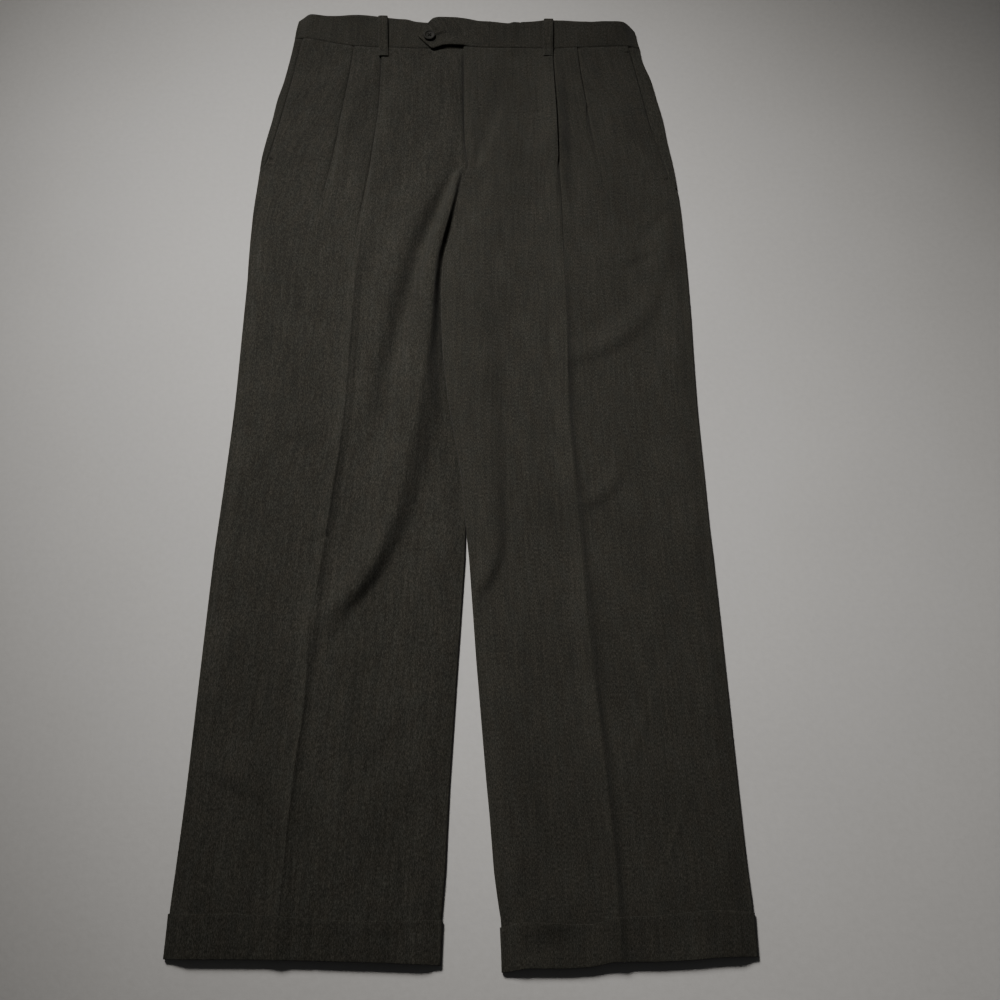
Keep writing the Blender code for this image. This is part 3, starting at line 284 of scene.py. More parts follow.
CREASE_COLUMNS = ("across", "up", "height", "lit", "shade")
CREASES = [
    # Right leg: the roll's steep lower end, the valley beside it and the swell beyond the valley
    ("right", "soft", [(-140, 310, 0, 12, 12), (-122, 330, 2.2, 18, 14), (-98, 358, 2.9, 22, 16),
        (-80, 402, 1.9, 22, 15), (-66, 457, 1.0, 20, 12), (-53, 549, 0.7, 16, 8), (-42, 640, 0.8, 14, 6),
        (-40, 740, 0.6, 12, 6), (-30, 800, 0, 10, 5)]),
    ("right", "soft", [(-96, 470, 0, 18, 14), (-88, 560, -2.4, 20, 16), (-76, 638, -3.6, 20, 16),
        (-62, 714, -4.2, 20, 16), (-45, 784, -3.7, 17, 12), (-30, 826, -2.7, 13, 8), (-18, 860, -1.1, 9, 5),
        (-12, 876, 0, 7, 4)]),
    ("right", "soft", [(-120, 490, 0, 22, 20), (-109, 574, 1.9, 26, 22), (-98, 638, 2.9, 30, 22),
        (-84, 714, 3.5, 34, 22), (-65, 783, 3.5, 38, 22), (-47, 840, 2.7, 40, 22), (-38, 900, 1.4, 40, 22),
        (-40, 970, 0, 36, 26)]),
    # The thin dip that the left leg's edge presses into the right leg
    ("right", "pressed", [(5.5, 350, 0, 5, 4), (2.0, 385, -1.8, 5, 4), (-1.6, 430, -2.6, 5, 4),
        (-10.4, 500, -2.8, 5, 4), (-20.9, 557, -2.5, 5, 4), (-28, 617, -2.0, 5, 4), (-30.4, 700, 0, 4, 3)]),
    # The pleats' dips on the right leg, and the swells that the left leg's pleats stand on
    ("right", "soft", [(-131, 740, 0, 9, 6), (-122, 842, -1.0, 10, 6), (-115, 917, -1.3, 10, 6),
        (-112.7, 1000, -1.1, 8, 5), (-114, 1042, 0, 6, 4)]),
    ("right", "soft", [(-176, 790, 0, 10, 8), (-165, 860, -1.2, 11, 8), (-157, 950, -1.3, 10, 7),
        (-152, 1005, -0.9, 8, 5), (-148, 1040, 0, 6, 4)]),
    ("left", "soft", [(109, 690, 0, 12, 12), (107, 780, 1.9, 16, 14), (105, 850, 4.2, 20, 16),
        (103.5, 910, 6.2, 24, 18), (102, 965, 5.8, 24, 18), (100, 1015, 2.4, 20, 16), (99, 1046, 0, 16, 12)]),
    ("left", "soft", [(160, 810, 0, 10, 8), (153, 860, 0.7, 12, 9), (143, 925, 1.2, 14, 10),
        (136, 985, 0.8, 12, 9), (131, 1035, 0, 10, 7)]),
    # The left leg's pleats die out in pressed lines
    ("left", "pressed", [(138.5, 955, -0.3, 3, 4), (142, 928, -1.3, 3.4, 5), (147, 892, -1.7, 3.6, 6),
        (153, 857, -1.1, 4.5, 7), (158, 822, 0, 5, 7)]),
    ("left", "pressed", [(106, 842, -0.4, 4, 7), (108.4, 800, -1.7, 6, 10), (109.6, 750, -1.7, 7, 12),
        (110.4, 700, -0.8, 8, 12), (111, 655, 0, 8, 10)]),
    # The fly's edge lies in a dip, and a second dip runs down to it from the left pleat
    ("both", "pressed", [(-3, 850, 0, 12, 10), (-3.4, 866, -0.6, 14, 12), (-8, 905, -1.1, 14, 12),
        (-9.9, 965, -1.0, 14, 12), (-11, 1020, -0.8, 13, 12), (-11, 1046, -0.4, 12, 10)]),
    ("right", "pressed", [(-2.6, 846, 0, 4, 5), (-2.8, 866, -2.2, 5, 6), (-7.2, 905, -3.4, 5.4, 6),
        (-9.2, 965, -3.6, 5.4, 6), (-10.2, 1020, -3.2, 5.4, 6), (-10.4, 1046, -2.0, 4.5, 5)]),
    ("both", "soft", [(4, 846, 0, 6, 6), (7, 866, -1.3, 8, 8), (11, 885, -2.3, 13, 10),
        (16.5, 908, -2.6, 19, 13), (23, 935, -2.2, 26, 15), (31, 975, -1.1, 32, 16), (40, 1020, 0, 36, 16)]),
    # Right leg: its pressed crease, then low dips and swells from the knee down
    ("right", "pressed", [(-159, 14, 0.9, 9, 4), (-159.5, 60, 1.1, 9, 4), (-158, 114, 1.3, 9, 4),
        (-155.5, 176, 1.3, 9, 4), (-151, 235, 1.3, 9, 4), (-151.5, 300, 1.2, 9, 3.6),
        (-146, 353, 1.2, 9, 3.4), (-138.5, 438, 1.5, 10, 3.2), (-130.5, 553, 1.6, 10, 3.2),
        (-129, 678, 1.4, 9, 3.4), (-126, 760, 0.8, 8, 4), (-122, 810, 0, 8, 4)]),
    ("right", "soft", [(-168, 388, 0, 3, 6), (-152.5, 394.3, -1.0, 3, 7), (-140, 399.6, -1.3, 3, 7)]),
    ("right", "soft", [(-252, 166, -0.6, 12, 36), (-232, 157, -1.7, 14, 44), (-210, 147, -2.0, 14, 44),
        (-190, 139, -1.4, 12, 36), (-172, 132, 0, 10, 30)]),
    ("right", "soft", [(-122, 128, 0, 10, 22), (-104, 150, -0.8, 12, 26), (-84.5, 174, -1.3, 12, 28),
        (-64, 200, -1.0, 12, 26), (-44, 224, 0, 10, 22)]),
    ("right", "soft", [(-132, 48, 0, 8, 14), (-112, 63, -0.9, 9, 18), (-90, 80, 0, 8, 14)]),
    ("right", "soft", [(-196, 300, 0, 24, 20), (-190, 390, 0.7, 28, 22), (-186, 480, 0.9, 30, 24),
        (-178, 600, 0.8, 26, 20), (-170, 720, 0, 24, 18)]),
    ("right", "soft", [(-60, 230, 0, 20, 24), (-56, 290, 0.8, 24, 28), (-40, 350, 0.6, 22, 24),
        (-30, 400, 0, 18, 20)]),
    # Left leg: the two swags below the pleats, the fall from the other leg's edge, the diagonal ridges
    ("left", "soft", [(108, 603, 0.5, 20, 12), (141, 616, 2.6, 26, 14), (159, 627, 2.9, 28, 16),
        (177, 641, 2.5, 28, 16), (193, 659, 1.9, 24, 14), (206, 682, 1.2, 20, 12), (213, 712, 0.8, 14, 8),
        (217, 742, 0, 10, 6)]),
    ("left", "soft", [(119, 433, 0.6, 12, 9), (135, 442, 2.3, 18, 11), (151, 458, 2.3, 18, 11),
        (155, 480, 1.1, 14, 6), (154, 506, 0, 10, 5)]),
    ("left", "soft", [(5, 334, 0, 10, 8), (19, 353, 3.1, 18, 10), (29, 378, 3.6, 22, 12),
        (31, 420, 2.8, 24, 12), (30, 470, 1.8, 22, 12), (27, 540, 0.6, 18, 12), (24, 600, 0, 14, 10)]),
    ("left", "pressed", [(138, 14, 0.6, 5, 9), (137, 75, 1.0, 5, 10), (133, 143, 1.3, 5, 12),
        (129, 190, 1.4, 5, 12), (126.5, 225, 1.2, 5, 10), (120, 292, 0.9, 5, 8), (112.5, 438, 0.9, 4, 7),
        (106.5, 553, 1.1, 3.5, 6), (107, 678, 0.9, 3.5, 6), (106, 760, 0, 3, 5)]),
    ("left", "pressed", [(140, 140, 0, 4, 9), (150, 170, 0.9, 5, 10), (165, 206, 1.2, 5, 11),
        (180, 240, 0.5, 5, 9), (188, 262, 0, 4, 8)]),
    ("left", "pressed", [(168, 52, 0, 4, 9), (180, 84, 0.8, 5, 10), (193, 115, 1.0, 5, 10),
        (207, 150, 0.7, 5, 9), (218, 178, 0, 4, 8)]),
    ("left", "soft", [(188, 752, 0, 6, 10), (203, 770, -1.0, 8, 14), (220, 792, -1.3, 8, 15),
        (238, 816, 0, 6, 10)]),
    ("left", "soft", [(164, 716, 0, 5, 8), (180, 724, -1.1, 6, 11), (198, 733, -1.2, 6, 11),
        (214, 742, 0, 5, 8)]),
    ("left", "soft", [(28, 640, 0, 36, 36), (34, 720, 1.6, 44, 40), (38, 800, 2.8, 46, 42),
        (40, 870, 2.6, 34, 42), (46, 940, 1.2, 24, 36), (50, 1000, 0, 20, 30)]),
    ("left", "soft", [(62, 938, 0, 4, 7), (78, 945, -0.9, 5, 8), (93, 949, 0, 4, 7)]),
    ("left", "soft", [(60, 60, 0, 16, 20), (56, 130, 0.8, 20, 24), (50, 220, 0.9, 20, 24),
        (44, 300, 0, 16, 18)]),
    ("left", "soft", [(205, 330, 0, 22, 22), (204, 420, 0.9, 26, 26), (208, 520, 0.9, 26, 26),
        (206, 600, 0, 20, 20)]),
    ("left", "soft", [(66, 470, 0, 16, 18), (64, 560, 0.8, 20, 22), (70, 660, 0.8, 20, 22),
        (72, 740, 0, 16, 18)]),
]
BACK_CREASES = [
    ("right", "pressed", [(-150, 40, 0, 8, 8), (-146, 300, 0.5, 9, 9), (-136, 560, 0.5, 9, 9),
        (-126, 820, 0, 8, 8)]),
    ("right", "soft", [(-200, 700, 0, 10, 16), (-150, 740, 0.6, 12, 20), (-90, 800, 0.5, 12, 20),
        (-50, 850, 0, 10, 14)]),
    ("left", "pressed", [(138, 40, 0, 8, 8), (126, 300, 0.5, 9, 9), (110, 560, 0.5, 9, 9),
        (106, 820, 0, 8, 8)]),
    ("left", "soft", [(60, 880, 0, 10, 14), (120, 800, 0.6, 12, 20), (190, 740, 0, 10, 16)]),
]
REFINE = 5  # points that a crease's line gets between two of its rows
DETAIL_FADE = {"side": 12.0, "inseam": 6.0, "waist": 14.0}  # widths over which creases fade at the edges
DETAIL_END = 1048.0  # a crease has faded out here, just below the waist
BACK_DETAIL = 0.6  # share of its creases' height that a back keeps
# The cloth's faint unevenness: waves that are turned off the leg by a few tenths of a radian. A longer
# wave is higher.
WAVES = {"count": 18, "lengths": (34, 130), "turn": 0.42, "full_length": 100, "height": 0.22}
SEEDS = {"front_right": 3, "front_left": 8, "back_right": 5, "back_left": 6, "cuff": 21}

# --- waistband and tab ---

BAND_STATIONS = 40.0  # stations from the band's seam to its top edge, for its side edges
BAND_LEVEL = 3.1  # middle of the band's cloth at the sides, from which it rises by these
BAND_RISE_BOTTOM = 3.6
BAND_RISE_TOP = 7.5
BAND_SOFT_EDGE = 16.0
BAND_WAVE = 0.9  # height of the waves in the band's top edge
BAND_WAVES = ((1.0, 27.0, 1.0), (0.5, 12.0, 0.0))  # share, length and phase of each
BAND_CORNER = {"width": 5.0, "drop": 2.2}  # how the band's top edge rounds off at the sides
BAND_PUCKERS = [  # across, width, height and slant of each
    (58, 2.4, -0.9, 3), (50, 7, 0.6, 2), (-20, 12, 0.5, 0), (-75, 9, -0.6, 4), (-88, 10, 0.5, 4),
    (120, 16, 0.5, -4), (150, 12, -0.5, 3), (-150, 18, 0.5, -5), (-190, 14, -0.4, 4), (182, 9, 0.4, 2),
]
PUCKER_LEAST = 0.25  # share of a pucker's height that is left at the band's seam
RIGHT_BAND_END = 17.0
TAB_SEAM = 21.5
TAB_STEP = BAND_CLOTH + PLY_GAP + 0.1
BAND_DROP = table(
    ("across", "depth"), [(-80, 0), (-60, 0.4), (-34, 1.0), (-13, TAB_STEP), (25, TAB_STEP)]
)
TAB_BASE = 1048.6  # the tab's heights are read from here to the band's top edge
TAB = table(
    ("across", "bottom", "top"),
    [(-68.2, 1064.2, 1066.2), (-63.0, 1058.6, 1074.4), (-57.0, 1052.0, 1084.4), (-49.6, 1045.6, 1092.2),
     (-42.8, 1048.2, 1094.0), (-33.5, 1051.2, 1094.2), (-23.7, 1051.6, 1093.8), (-11.2, 1051.4, 1092.4),
     (-3.5, 1050.6, 1090.4), (9.0, 1049.4, 1087.2), (TAB_SEAM - SEAM_GAP / 2, 1048.7, 1086.3)],
)
TAB_LIFT = {"height": 1.5, "reach": 16.0}  # how far the tab's free lower edge stands off,
TAB_FREE = {"start": -62.0, "rise": 14.0, "end": -16.0, "fall": 12.0}  # and between which places

# --- cuffs ---

CUFF_END_GAP = 0.5  # a cuff's free edge lies this far below its line
CUFF_INSIDE = 2.6  # the cuff's cloth turns up inside the leg to this station, where the leg's cloth ends
CUFF_GAPE = 0.5  # how far a cuff's free edge stands off the front
CUFF_SAG = {"across": 82.0, "width": 34.0, "height": 2.0}  # where the left cuff stands off its leg
CUFF_WAVES = 0.4  # share of the cloth's unevenness that a cuff has
CUFF_UPPER = {"height": 3.6, "ease": 1.6}  # a cuff's creases are on the cloth above this height
CUFF_CREASES = [
    ("right", "pressed", [(-159, 0, 0.8, 9, 4), (-159.5, 48, 0.8, 9, 4)]),
    ("right", "pressed", [(-128, 4, -0.5, 5, 5), (-130.5, 48, -0.6, 5, 5)]),
    ("right", "soft", [(-60, 44, 0, 10, 14), (-40, 38, -1.1, 14, 18), (-20, 34, -0.4, 10, 12)]),
    ("left", "pressed", [(138, 0, 0.8, 4, 9), (138, 48, 0.8, 4, 9)]),
    ("left", "soft", [(44, 18, 0, 14, 16), (60, 21, -1.1, 16, 18), (80, 24, -1.3, 16, 18),
        (98, 26, 0, 14, 14)]),
]

# --- belt loops ---

LOOP_WIDTH = 11.0
LOOP_ACROSS = {"right": (-113.9, -111.0), "left": (95.4, 94.2)}  # at the top and at the foot
LOOP_TOP = 1.0  # a loop's end lies this far above the band's top edge
LOOP_BOTTOM_UP = 1034.0
LOOP_CLEAR = 1.5  # how far a loop stands off at its highest
LOOP_CROWN = 0.5  # a loop's middle is this much higher than its edges
LOOP_NEAR = 2.5  # a loop clears the pleated cloth within this reach
LOOP_SMOOTHING = {"rounds": 3, "sink": 0.1}  # in one round no point sinks more than this
LOOP_ARCH = table(
    ("part", "clear"),
    [(0, 0), (0.06, 0.3), (0.16, 0.8), (0.3, 1), (0.5, 1), (0.62, 1), (0.76, 0.75), (0.9, 0.2), (1, 0)],
)

# --- button and sewing ---

BUTTON_ACROSS, BUTTON_UP = -54.3, 1064.2
BUTTON_REACH = 6.0  # the button rests on the highest of the tab within this reach of its middle
BUTTON_SLOPE_STEP = 0.1  # the tab's slope is read over this share of its height each way
BUTTON_SHARP = 40.0  # edges turned more than this many degrees are sharp
BUTTON_HOLE = {"radius": 0.9, "offset": 1.5, "sides": 20, "low": -3.0, "high": 5.0}
BUTTON_PROFILE = table(
    ("radius", "height"),
    [(0.0, 0.0), (5.9, 0.0), (6.6, 0.25), (7.1, 0.8), (7.3, 1.4), (7.2, 1.9), (6.9, 2.3), (6.4, 2.55),
     (5.9, 2.6), (5.5, 2.45), (5.1, 2.1), (4.6, 1.85), (3.6, 1.75), (0.0, 1.7)],
)
BUTTON_THREAD = {"base": 1.2, "rises": (1.0, 1.25), "shifts": (-0.28, 0.0, 0.28), "steps": 15,
                 "fullness": 0.45, "sides": 8}
THREAD_SIDES = 6
THREAD_RADIUS = 0.16
THICK_THREAD_RADIUS = 0.2
THREAD_END = 0.35  # share of its radius that a thread keeps at its ends
THREAD_OVER = (0.13, 0.21, 1.0)  # a way that no thread runs in, for laying out its ring of points
STITCH = 2.4
STITCH_GAP = 0.9
STITCH_STEPS = 6
STITCH_DIP = 1.6  # how many radii a stitch sinks at its ends
TACK_LIFT = 0.1
NEAR_REACH = 3.2  # the top of the cloth is read from its points within this reach
NEAR_DEPTH = 0.8  # that lie no deeper than this below the highest
NEAR_LEAST = 0.2
POCKET_SEWN = {"inward": 5.5, "start": 14.0, "end": 1043.0, "step": 4.0}  # start is above the pocket's end
POCKET_TACK = {"inward": (0.8, 6.0), "start": 12.0, "end": 1042.0, "rows": (-1.6, 1.7, 0.4), "steps": 6}
LOOP_SEWN = {"inward": 1.5, "parts": (0.03, 0.96, 16)}
LOOP_TACK = {"inward": 0.8, "up": 2.4, "rows": (-0.8, 0.9, 0.4), "steps": 12}
BUTTONHOLE = {"start": (-46.5, 1067.2), "end": (-36.6, 1071.0), "half": 0.9, "side_count": 26,
              "eye": 1.5, "eye_past": 0.8, "turn": 0.62, "eye_count": 16, "slit_count": 40, "slit_end": 1.2}
PURL = {"reach": (-0.55, 0.75), "steps": 5, "lift": 0.12, "fall": 0.25, "middle": 0.1}

# --- sizes of the mesh ---

ROW_STEP = 3.6
BACK_ROW_STEP = 1.7 * ROW_STEP
ARC_COUNT = 7
TURN_COUNT = 7
DEPTH_COUNT = 3
LEAST_NORM = 1e-9
RIM = 0.45  # a free edge is rounded over this length
RIM_SHARE = 0.4  # and there it keeps this share of its thickness
FRONT_COUNTS = {"outer": 22, "inner": 14, "rest": (24, 22, 16)}  # columns before each pleat, and past both
FRONT_ZERO = 78  # the column that a front's weave is measured from, in its inner pleat
ROLL_FINE = {"before": 3.0, "length": 20.0, "from_pleat": 10.0, "from_end": 6.0}  # the close columns
BACK_COUNT = 64
FACING_COUNT = 7
FACING_FINE = {"before": 4.0, "past": 2.0}  # the close columns at the pocket's edge
CUFF_ROWS = 16
CUFF_FOLD_ROWS = 7
BAND_ROWS = 15
BAND_FRONT_COUNT = 110
BAND_BACK_COUNT = 40
BAND_ARC_COUNT = 9
TAB_ROWS = 20
TAB_RUNS = ((-68.0, -48.0, 16), (-46.5, TAB_SEAM - SEAM_GAP / 2, 44))
LOOP_ROWS = 46
LOOP_COLUMNS = 12
BUTTON_SEGMENTS = 56

# --- colours, floor, light and camera ---

WOOL_DARK = (0.0093, 0.0089, 0.0067)
WOOL_MIDDLE = (0.0255, 0.0243, 0.0198)
WOOL_LIGHT = (0.0625, 0.0598, 0.0495)
WOOL_COOL_TINT = (0.985, 1.0, 1.0)
WOOL_WARM_TINT = (1.025, 1.0, 0.97)
WOOL_OFFSETS = {  # where each piece is cut from the same cloth
    "front_right": 11.0, "front_left": 37.0, "back_right": 53.0, "back_left": 71.0,
    "pocket_facing_right": 83.0, "pocket_facing_left": 91.0, "cuff_right": 101.0, "cuff_left": 117.0,
    "waistband_right": 123.0, "waistband_left": 127.0, "waist_tab": 131.0,
    "belt_loop_right": 141.0, "belt_loop_left": 149.0,
}
HORN_DARK = (0.009, 0.0082, 0.0055)
HORN_MIDDLE = (0.014, 0.0127, 0.0088)
HORN_LIGHT = (0.021, 0.019, 0.0135)
THREAD_DARK = (0.010, 0.0095, 0.0075)
THREAD_LIGHT = (0.024, 0.0228, 0.0185)
FLOOR_DARK = (0.480, 0.466, 0.446)
FLOOR_LIGHT = (0.535, 0.520, 0.499)

# From here to the cuts, lengths are in metres, angles in degrees and powers in watts
FLOOR_SIZE = 8.0
FLOOR_DROP = 0.0002
LIGHTS = {
    "wide": {"aim": (0.059, -0.01, 0.0), "half_angle": 20.8, "power": 300.0, "colour": (1.0, 0.987, 0.967)},
    "pool": {"aim": (-0.03, -0.05, 0.0), "half_angle": 8.5, "power": 285.0, "colour": (1.0, 0.99, 0.98)},
}
LIGHT_AZIMUTH, LIGHT_ELEVATION = 32.0, 45.0  # azimuth is turned to the left from the far side
LIGHT_DISTANCE = 2.6
LIGHT_RADIUS = 0.42
WORLD_COLOUR = (0.96, 0.98, 1.0, 1)
WORLD_LIGHT = 0.036
CAMERA_PLACE = (0.034, -0.495, 0.955)
CAMERA_TILT = 22.0
CAMERA_LENS, CAMERA_SENSOR = 36.0, 36.0  # in millimetres

# Each sheet's cut: the largest width and length of what shows, in metres, once its pleats and folds are
# opened out, its area in square metres, how it lies and on what, and the pieces that are sewn on it.
CUTS = [
    ("back_cloth_right", 0.262, 1.060, 0.255, "laid", ["floor"], []),
    ("back_cloth_left", 0.278, 1.064, 0.260, "laid", ["floor"], []),
    ("pocket_facing_cloth_right", 0.039, 0.204, 0.0070, "laid", ["back_cloth_right"], []),
    ("pocket_facing_cloth_left", 0.046, 0.226, 0.0087, "laid", ["back_cloth_left"], []),
    ("front_cloth_right", 0.297, 1.063, 0.267, "folded", ["back_cloth_right"], ["pocket_stitching_right"]),
    ("front_cloth_left", 0.280, 1.056, 0.263, "folded", ["back_cloth_left"], ["pocket_stitching_left"]),
    ("cuff_cloth_right", 0.489, 0.038, 0.0178, "folded", ["floor", "front_cloth_right"], []),
    ("cuff_cloth_left", 0.458, 0.040, 0.0173, "folded", ["floor", "front_cloth_left"], []),
    ("waistband_cloth_right", 0.460, 0.047, 0.0164, "laid", ["floor"], ["button_horn", "button_thread"]),
    ("waistband_cloth_left", 0.408, 0.043, 0.0133, "laid", ["floor"], []),
    ("waist_tab_cloth", 0.104, 0.047, 0.0034, "laid", ["waistband_cloth_right"], ["buttonhole_stitching"]),
    ("belt_loop_cloth_right", 0.011, 0.062, None, "laid", ["waistband_cloth_right"],
     ["belt_loop_stitching_right"]),
    ("belt_loop_cloth_left", 0.011, 0.058, None, "laid", ["waistband_cloth_left"],
     ["belt_loop_stitching_left"]),
]

# --- reading the tables ---


def at(data, column, place, key="up"):
    """A smooth curve through a column that never overshoots it, read at one place or at many."""
    xs, ys = data[key], data[column]
    steps, slopes = np.diff(xs), np.diff(ys) / np.diff(xs)
    same_way = slopes[:-1] * slopes[1:] > 0
    inner = 2 * slopes[:-1] * slopes[1:] / np.where(same_way, slopes[:-1] + slopes[1:], 1)
    tangents = np.concatenate([slopes[:1], np.where(same_way, inner, 0), slopes[-1:]])
    x = np.clip(place, xs[0], xs[-1])
    k = np.clip(np.searchsorted(xs, x) - 1, 0, len(steps) - 1)
    t = (x - xs[k]) / steps[k]
    rise = steps[k] * (tangents[k] * t * (1 - t) ** 2 - tangents[k + 1] * t * t * (1 - t))
    return ys[k] + (ys[k + 1] - ys[k]) * t * t * (3 - 2 * t) + rise


def line_up(line, across):
    """How far up a line across the garment lies."""
    return at(line, "up", across, key="across")


def straight(data, column, place):
    """The table read in straight lines, where a row's exact ends matter."""
    return np.interp(place, data["up"], data[column])


def soft_step(value):
    """A smooth step from 0 to 1."""
    t = np.clip(value, 0.0, 1.0)
    return t * t * (3 - 2 * t)


def hump(away, width):
    """1 in the middle of a smooth ridge or dip, to 0 at its width on both sides."""
    return np.cos(np.clip(away / width, -1, 1) * np.pi / 2) ** 2


# --- where the edges are ---


def side_edge(leg, up):
    return at(LEG_EDGES, leg + "_side", up)


def inseam_edge(leg, up):
    return straight(LEG_EDGES, leg + "_inseam", up)


def front_inner_edge(leg, up):
    if up <= FORK:
        return inseam_edge(leg, up)
    fly = straight(FLY, "across", up)
    return fly if leg == "left" else fly + straight(FLY, "underlap", up)


def back_inner_edge(leg, up):
    if up <= FORK:
        return inseam_edge(leg, up)
    return straight(CENTRE_BACK, "across", up) - SIGN[leg] * SEAM_GAP / 2


def side_closed(leg, up):
    """1 where a front is sewn to its back at the side, to 0 where it ends at the pocket's edge."""
    return 1 - soft_step((up - POCKET_END[leg] + POCKET_EASE / 2) / POCKET_EASE)


def front_outer_edge(leg, up):
    closed = side_closed(leg, up)
    pocket = at(POCKETS[leg], "across", up)
    return side_edge(leg, up) * closed + pocket * (1 - closed)


def inseam_closed(up):
    """1 where the inseam's edge is curled over, to 0 at the fork."""
    return min(max((FORK - up) / INSEAM_EASE, 0.0), 1.0)


def leg_lift(leg, across, up):
    """How much the left leg is raised where it lies on the right one."""
    if leg == "right":
        return 0.0 * across
    past = across - inseam_edge("right", up) - LIFT_START
    return straight(LEG_LIFTS, "height", up) * (1 - soft_step(past / LIFT_EASE))


def cuff_raise(up):
    """How much the leg is raised by the cuff under it."""
    return CUFF_OUT * (1 - soft_step((up - CUFF_RAISE["up"]) / CUFF_RAISE["ease"]))


def real_up(across, station, back=False):
    """A station's true distance up the leg: rows follow the cuff at the hem, and the waist seam."""
    if station > WAIST_STATION - WAIST_EASE:
        share = soft_step((station - WAIST_STATION + WAIST_EASE) / WAIST_EASE)
        seam = line_up(BACK_WAIST_SEAM if back else WAIST_SEAM, across)
        return station + share * (seam - SEAM_GAP / 2 - WAIST_STATION)
    if station < HEM_EASE_TOP:
        share = 1 - soft_step((station - CUFF_STATION) / (HEM_EASE_TOP - CUFF_STATION))
        hem, top = line_up(HEM, across), line_up(CUFF_TOP, across)
        return (hem + (top - hem) * station / CUFF_STATION) * share + station * (1 - share)
    return station + 0.0 * across


# --- how high the cloth stands ---


def flank_width(fold, side, up):
    """One flank's width: one number for the whole fold, or a table up the leg."""
    width = fold[side]
    return at(width, "width", up) if isinstance(width, dict) else width


def fold_height(leg, across, up):
    total = np.zeros_like(across)
    for fold in FOLDS:
        crest = fold["crest"]
        if fold["leg"] != leg or not crest["up"][0] <= up <= crest["up"][-1]:
            continue
        away = (across - at(crest, "across", up)) * SIGN[leg]
        width = np.where(away > 0, flank_width(fold, "inward", up), flank_width(fold, "outward", up))
        total += at(crest, "height", up) * hump(away, width)
    return total


def loft_edge(leg, up):
    edge = inseam_edge(leg, up)
    if leg == "right" and up < FORK:
        return min(edge, inseam_edge("left", up) - LOFT_CLEAR)
    return edge


def fly_step(leg, across, up):
    """How much the left front is raised where the right one's underlap lies below it."""
    if leg == "right" or up <= FLY_STEP["start"]:
        return 0.0
    past = across - front_inner_edge("right", up) - FLY_STEP["clear"]
    share = min((up - FLY_STEP["start"]) / FLY_STEP["ease"], 1.0)
    return FLY_STEP["height"] * share * (1 - soft_step(past / FLY_STEP["reach"]))


def front_level(leg, across, up):
    """Middle of a front's cloth above the surface, without its pleats and its creases."""
    from_side = (across - side_edge(leg, up)) * SIGN[leg]
    from_inseam = (loft_edge(leg, up) - across) * SIGN[leg]
    step = POCKET_STEP * (1 - side_closed(leg, up))
    loft = at(LOFT, "height", up)
    rise = step + (loft - step) * soft_step((from_side - EDGE_RADIUS) / SOFT_EDGE)
    rise *= 1 - inseam_closed(up) * (1 - soft_step((from_inseam - EDGE_RADIUS) / SOFT_EDGE))
    base = 2 * EDGE_RADIUS - CLOTH / 2 + cuff_raise(up) + leg_lift(leg, across, up)
    return base + rise + fold_height(leg, across, up) + fly_step(leg, across, up)


def back_level(leg, across, up):
    return CLOTH / 2 + cuff_raise(up) + leg_lift(leg, across, up)


def crease_line(rows):
    """A crease's rows with more points put between them on a smooth line."""
    rows = table(CREASE_COLUMNS, rows)
    count = len(rows["up"])
    rows["row"] = np.arange(count, dtype=float)
    places = np.linspace(0, count - 1, (count - 1) * REFINE + 1)
    return {column: at(rows, column, places, key="row") for column in CREASE_COLUMNS}


def closest_on_line(line, x, y):
    """How far points lie from a crease's line, with its height and its flank's width at the nearest place."""
    closest = np.full(x.shape, np.inf)
    height, width = np.zeros_like(x), np.ones_like(x)
    for k in range(len(line["up"]) - 1):
        start = np.array([line["across"][k], line["up"][k]])
        run = np.array([line["across"][k + 1], line["up"][k + 1]]) - start
        t = np.clip(((x - start[0]) * run[0] + (y - start[1]) * run[1]) / (run @ run), 0, 1)
        off_x, off_y = x - start[0] - t * run[0], y - start[1] - t * run[1]
        distance = np.hypot(off_x, off_y)
        lit = run[0] * off_y - run[1] * off_x > 0
        better = distance < closest
        closest = np.where(better, distance, closest)
        values = {c: line[c][k] * (1 - t) + line[c][k + 1] * t for c in ("height", "lit", "shade")}
        height = np.where(better, values["height"], height)
        width = np.where(better, np.where(lit, values["lit"], values["shade"]), width)
    return closest, height, width


def crease_height(kind, line, across, up):
    """A crease's height at many points, by how far each one lies from its line, and on which side."""
    reach = max(line["lit"].max(), line["shade"].max())
    near = (across > line["across"].min() - reach) & (across < line["across"].max() + reach)
    near &= (up > line["up"].min() - reach) & (up < line["up"].max() + reach)
    closest, height, width = closest_on_line(line, across[near], up[near])
    share = np.clip(1 - closest / width, 0, 1)
    total = np.zeros_like(across)
    total[near] = height * (share**2 if kind == "pressed" else np.sin(share * np.pi / 2) ** 2)
    return total


def add_creases(heights, leg, creases, across, up):
    for side, kind, rows in creases:
        if side in (leg, "both"):
            heights += crease_height(kind, crease_line(rows), across, up)
    return heights


def unevenness(across, up, seed):
    """Low, long waves, mostly running along the leg."""
    draw = np.random.default_rng(seed)
    total = np.zeros_like(across)
    for _ in range(WAVES["count"]):
        length = draw.uniform(*WAVES["lengths"])
        angle = draw.normal(0, WAVES["turn"])
        phase = draw.uniform(0, 2 * np.pi)
        place = across * math.cos(angle) + up * math.sin(angle)
        total += length / WAVES["full_length"] * np.cos(2 * np.pi * place / length + phase)
    return total * WAVES["height"] / math.sqrt(WAVES["count"] / 2)


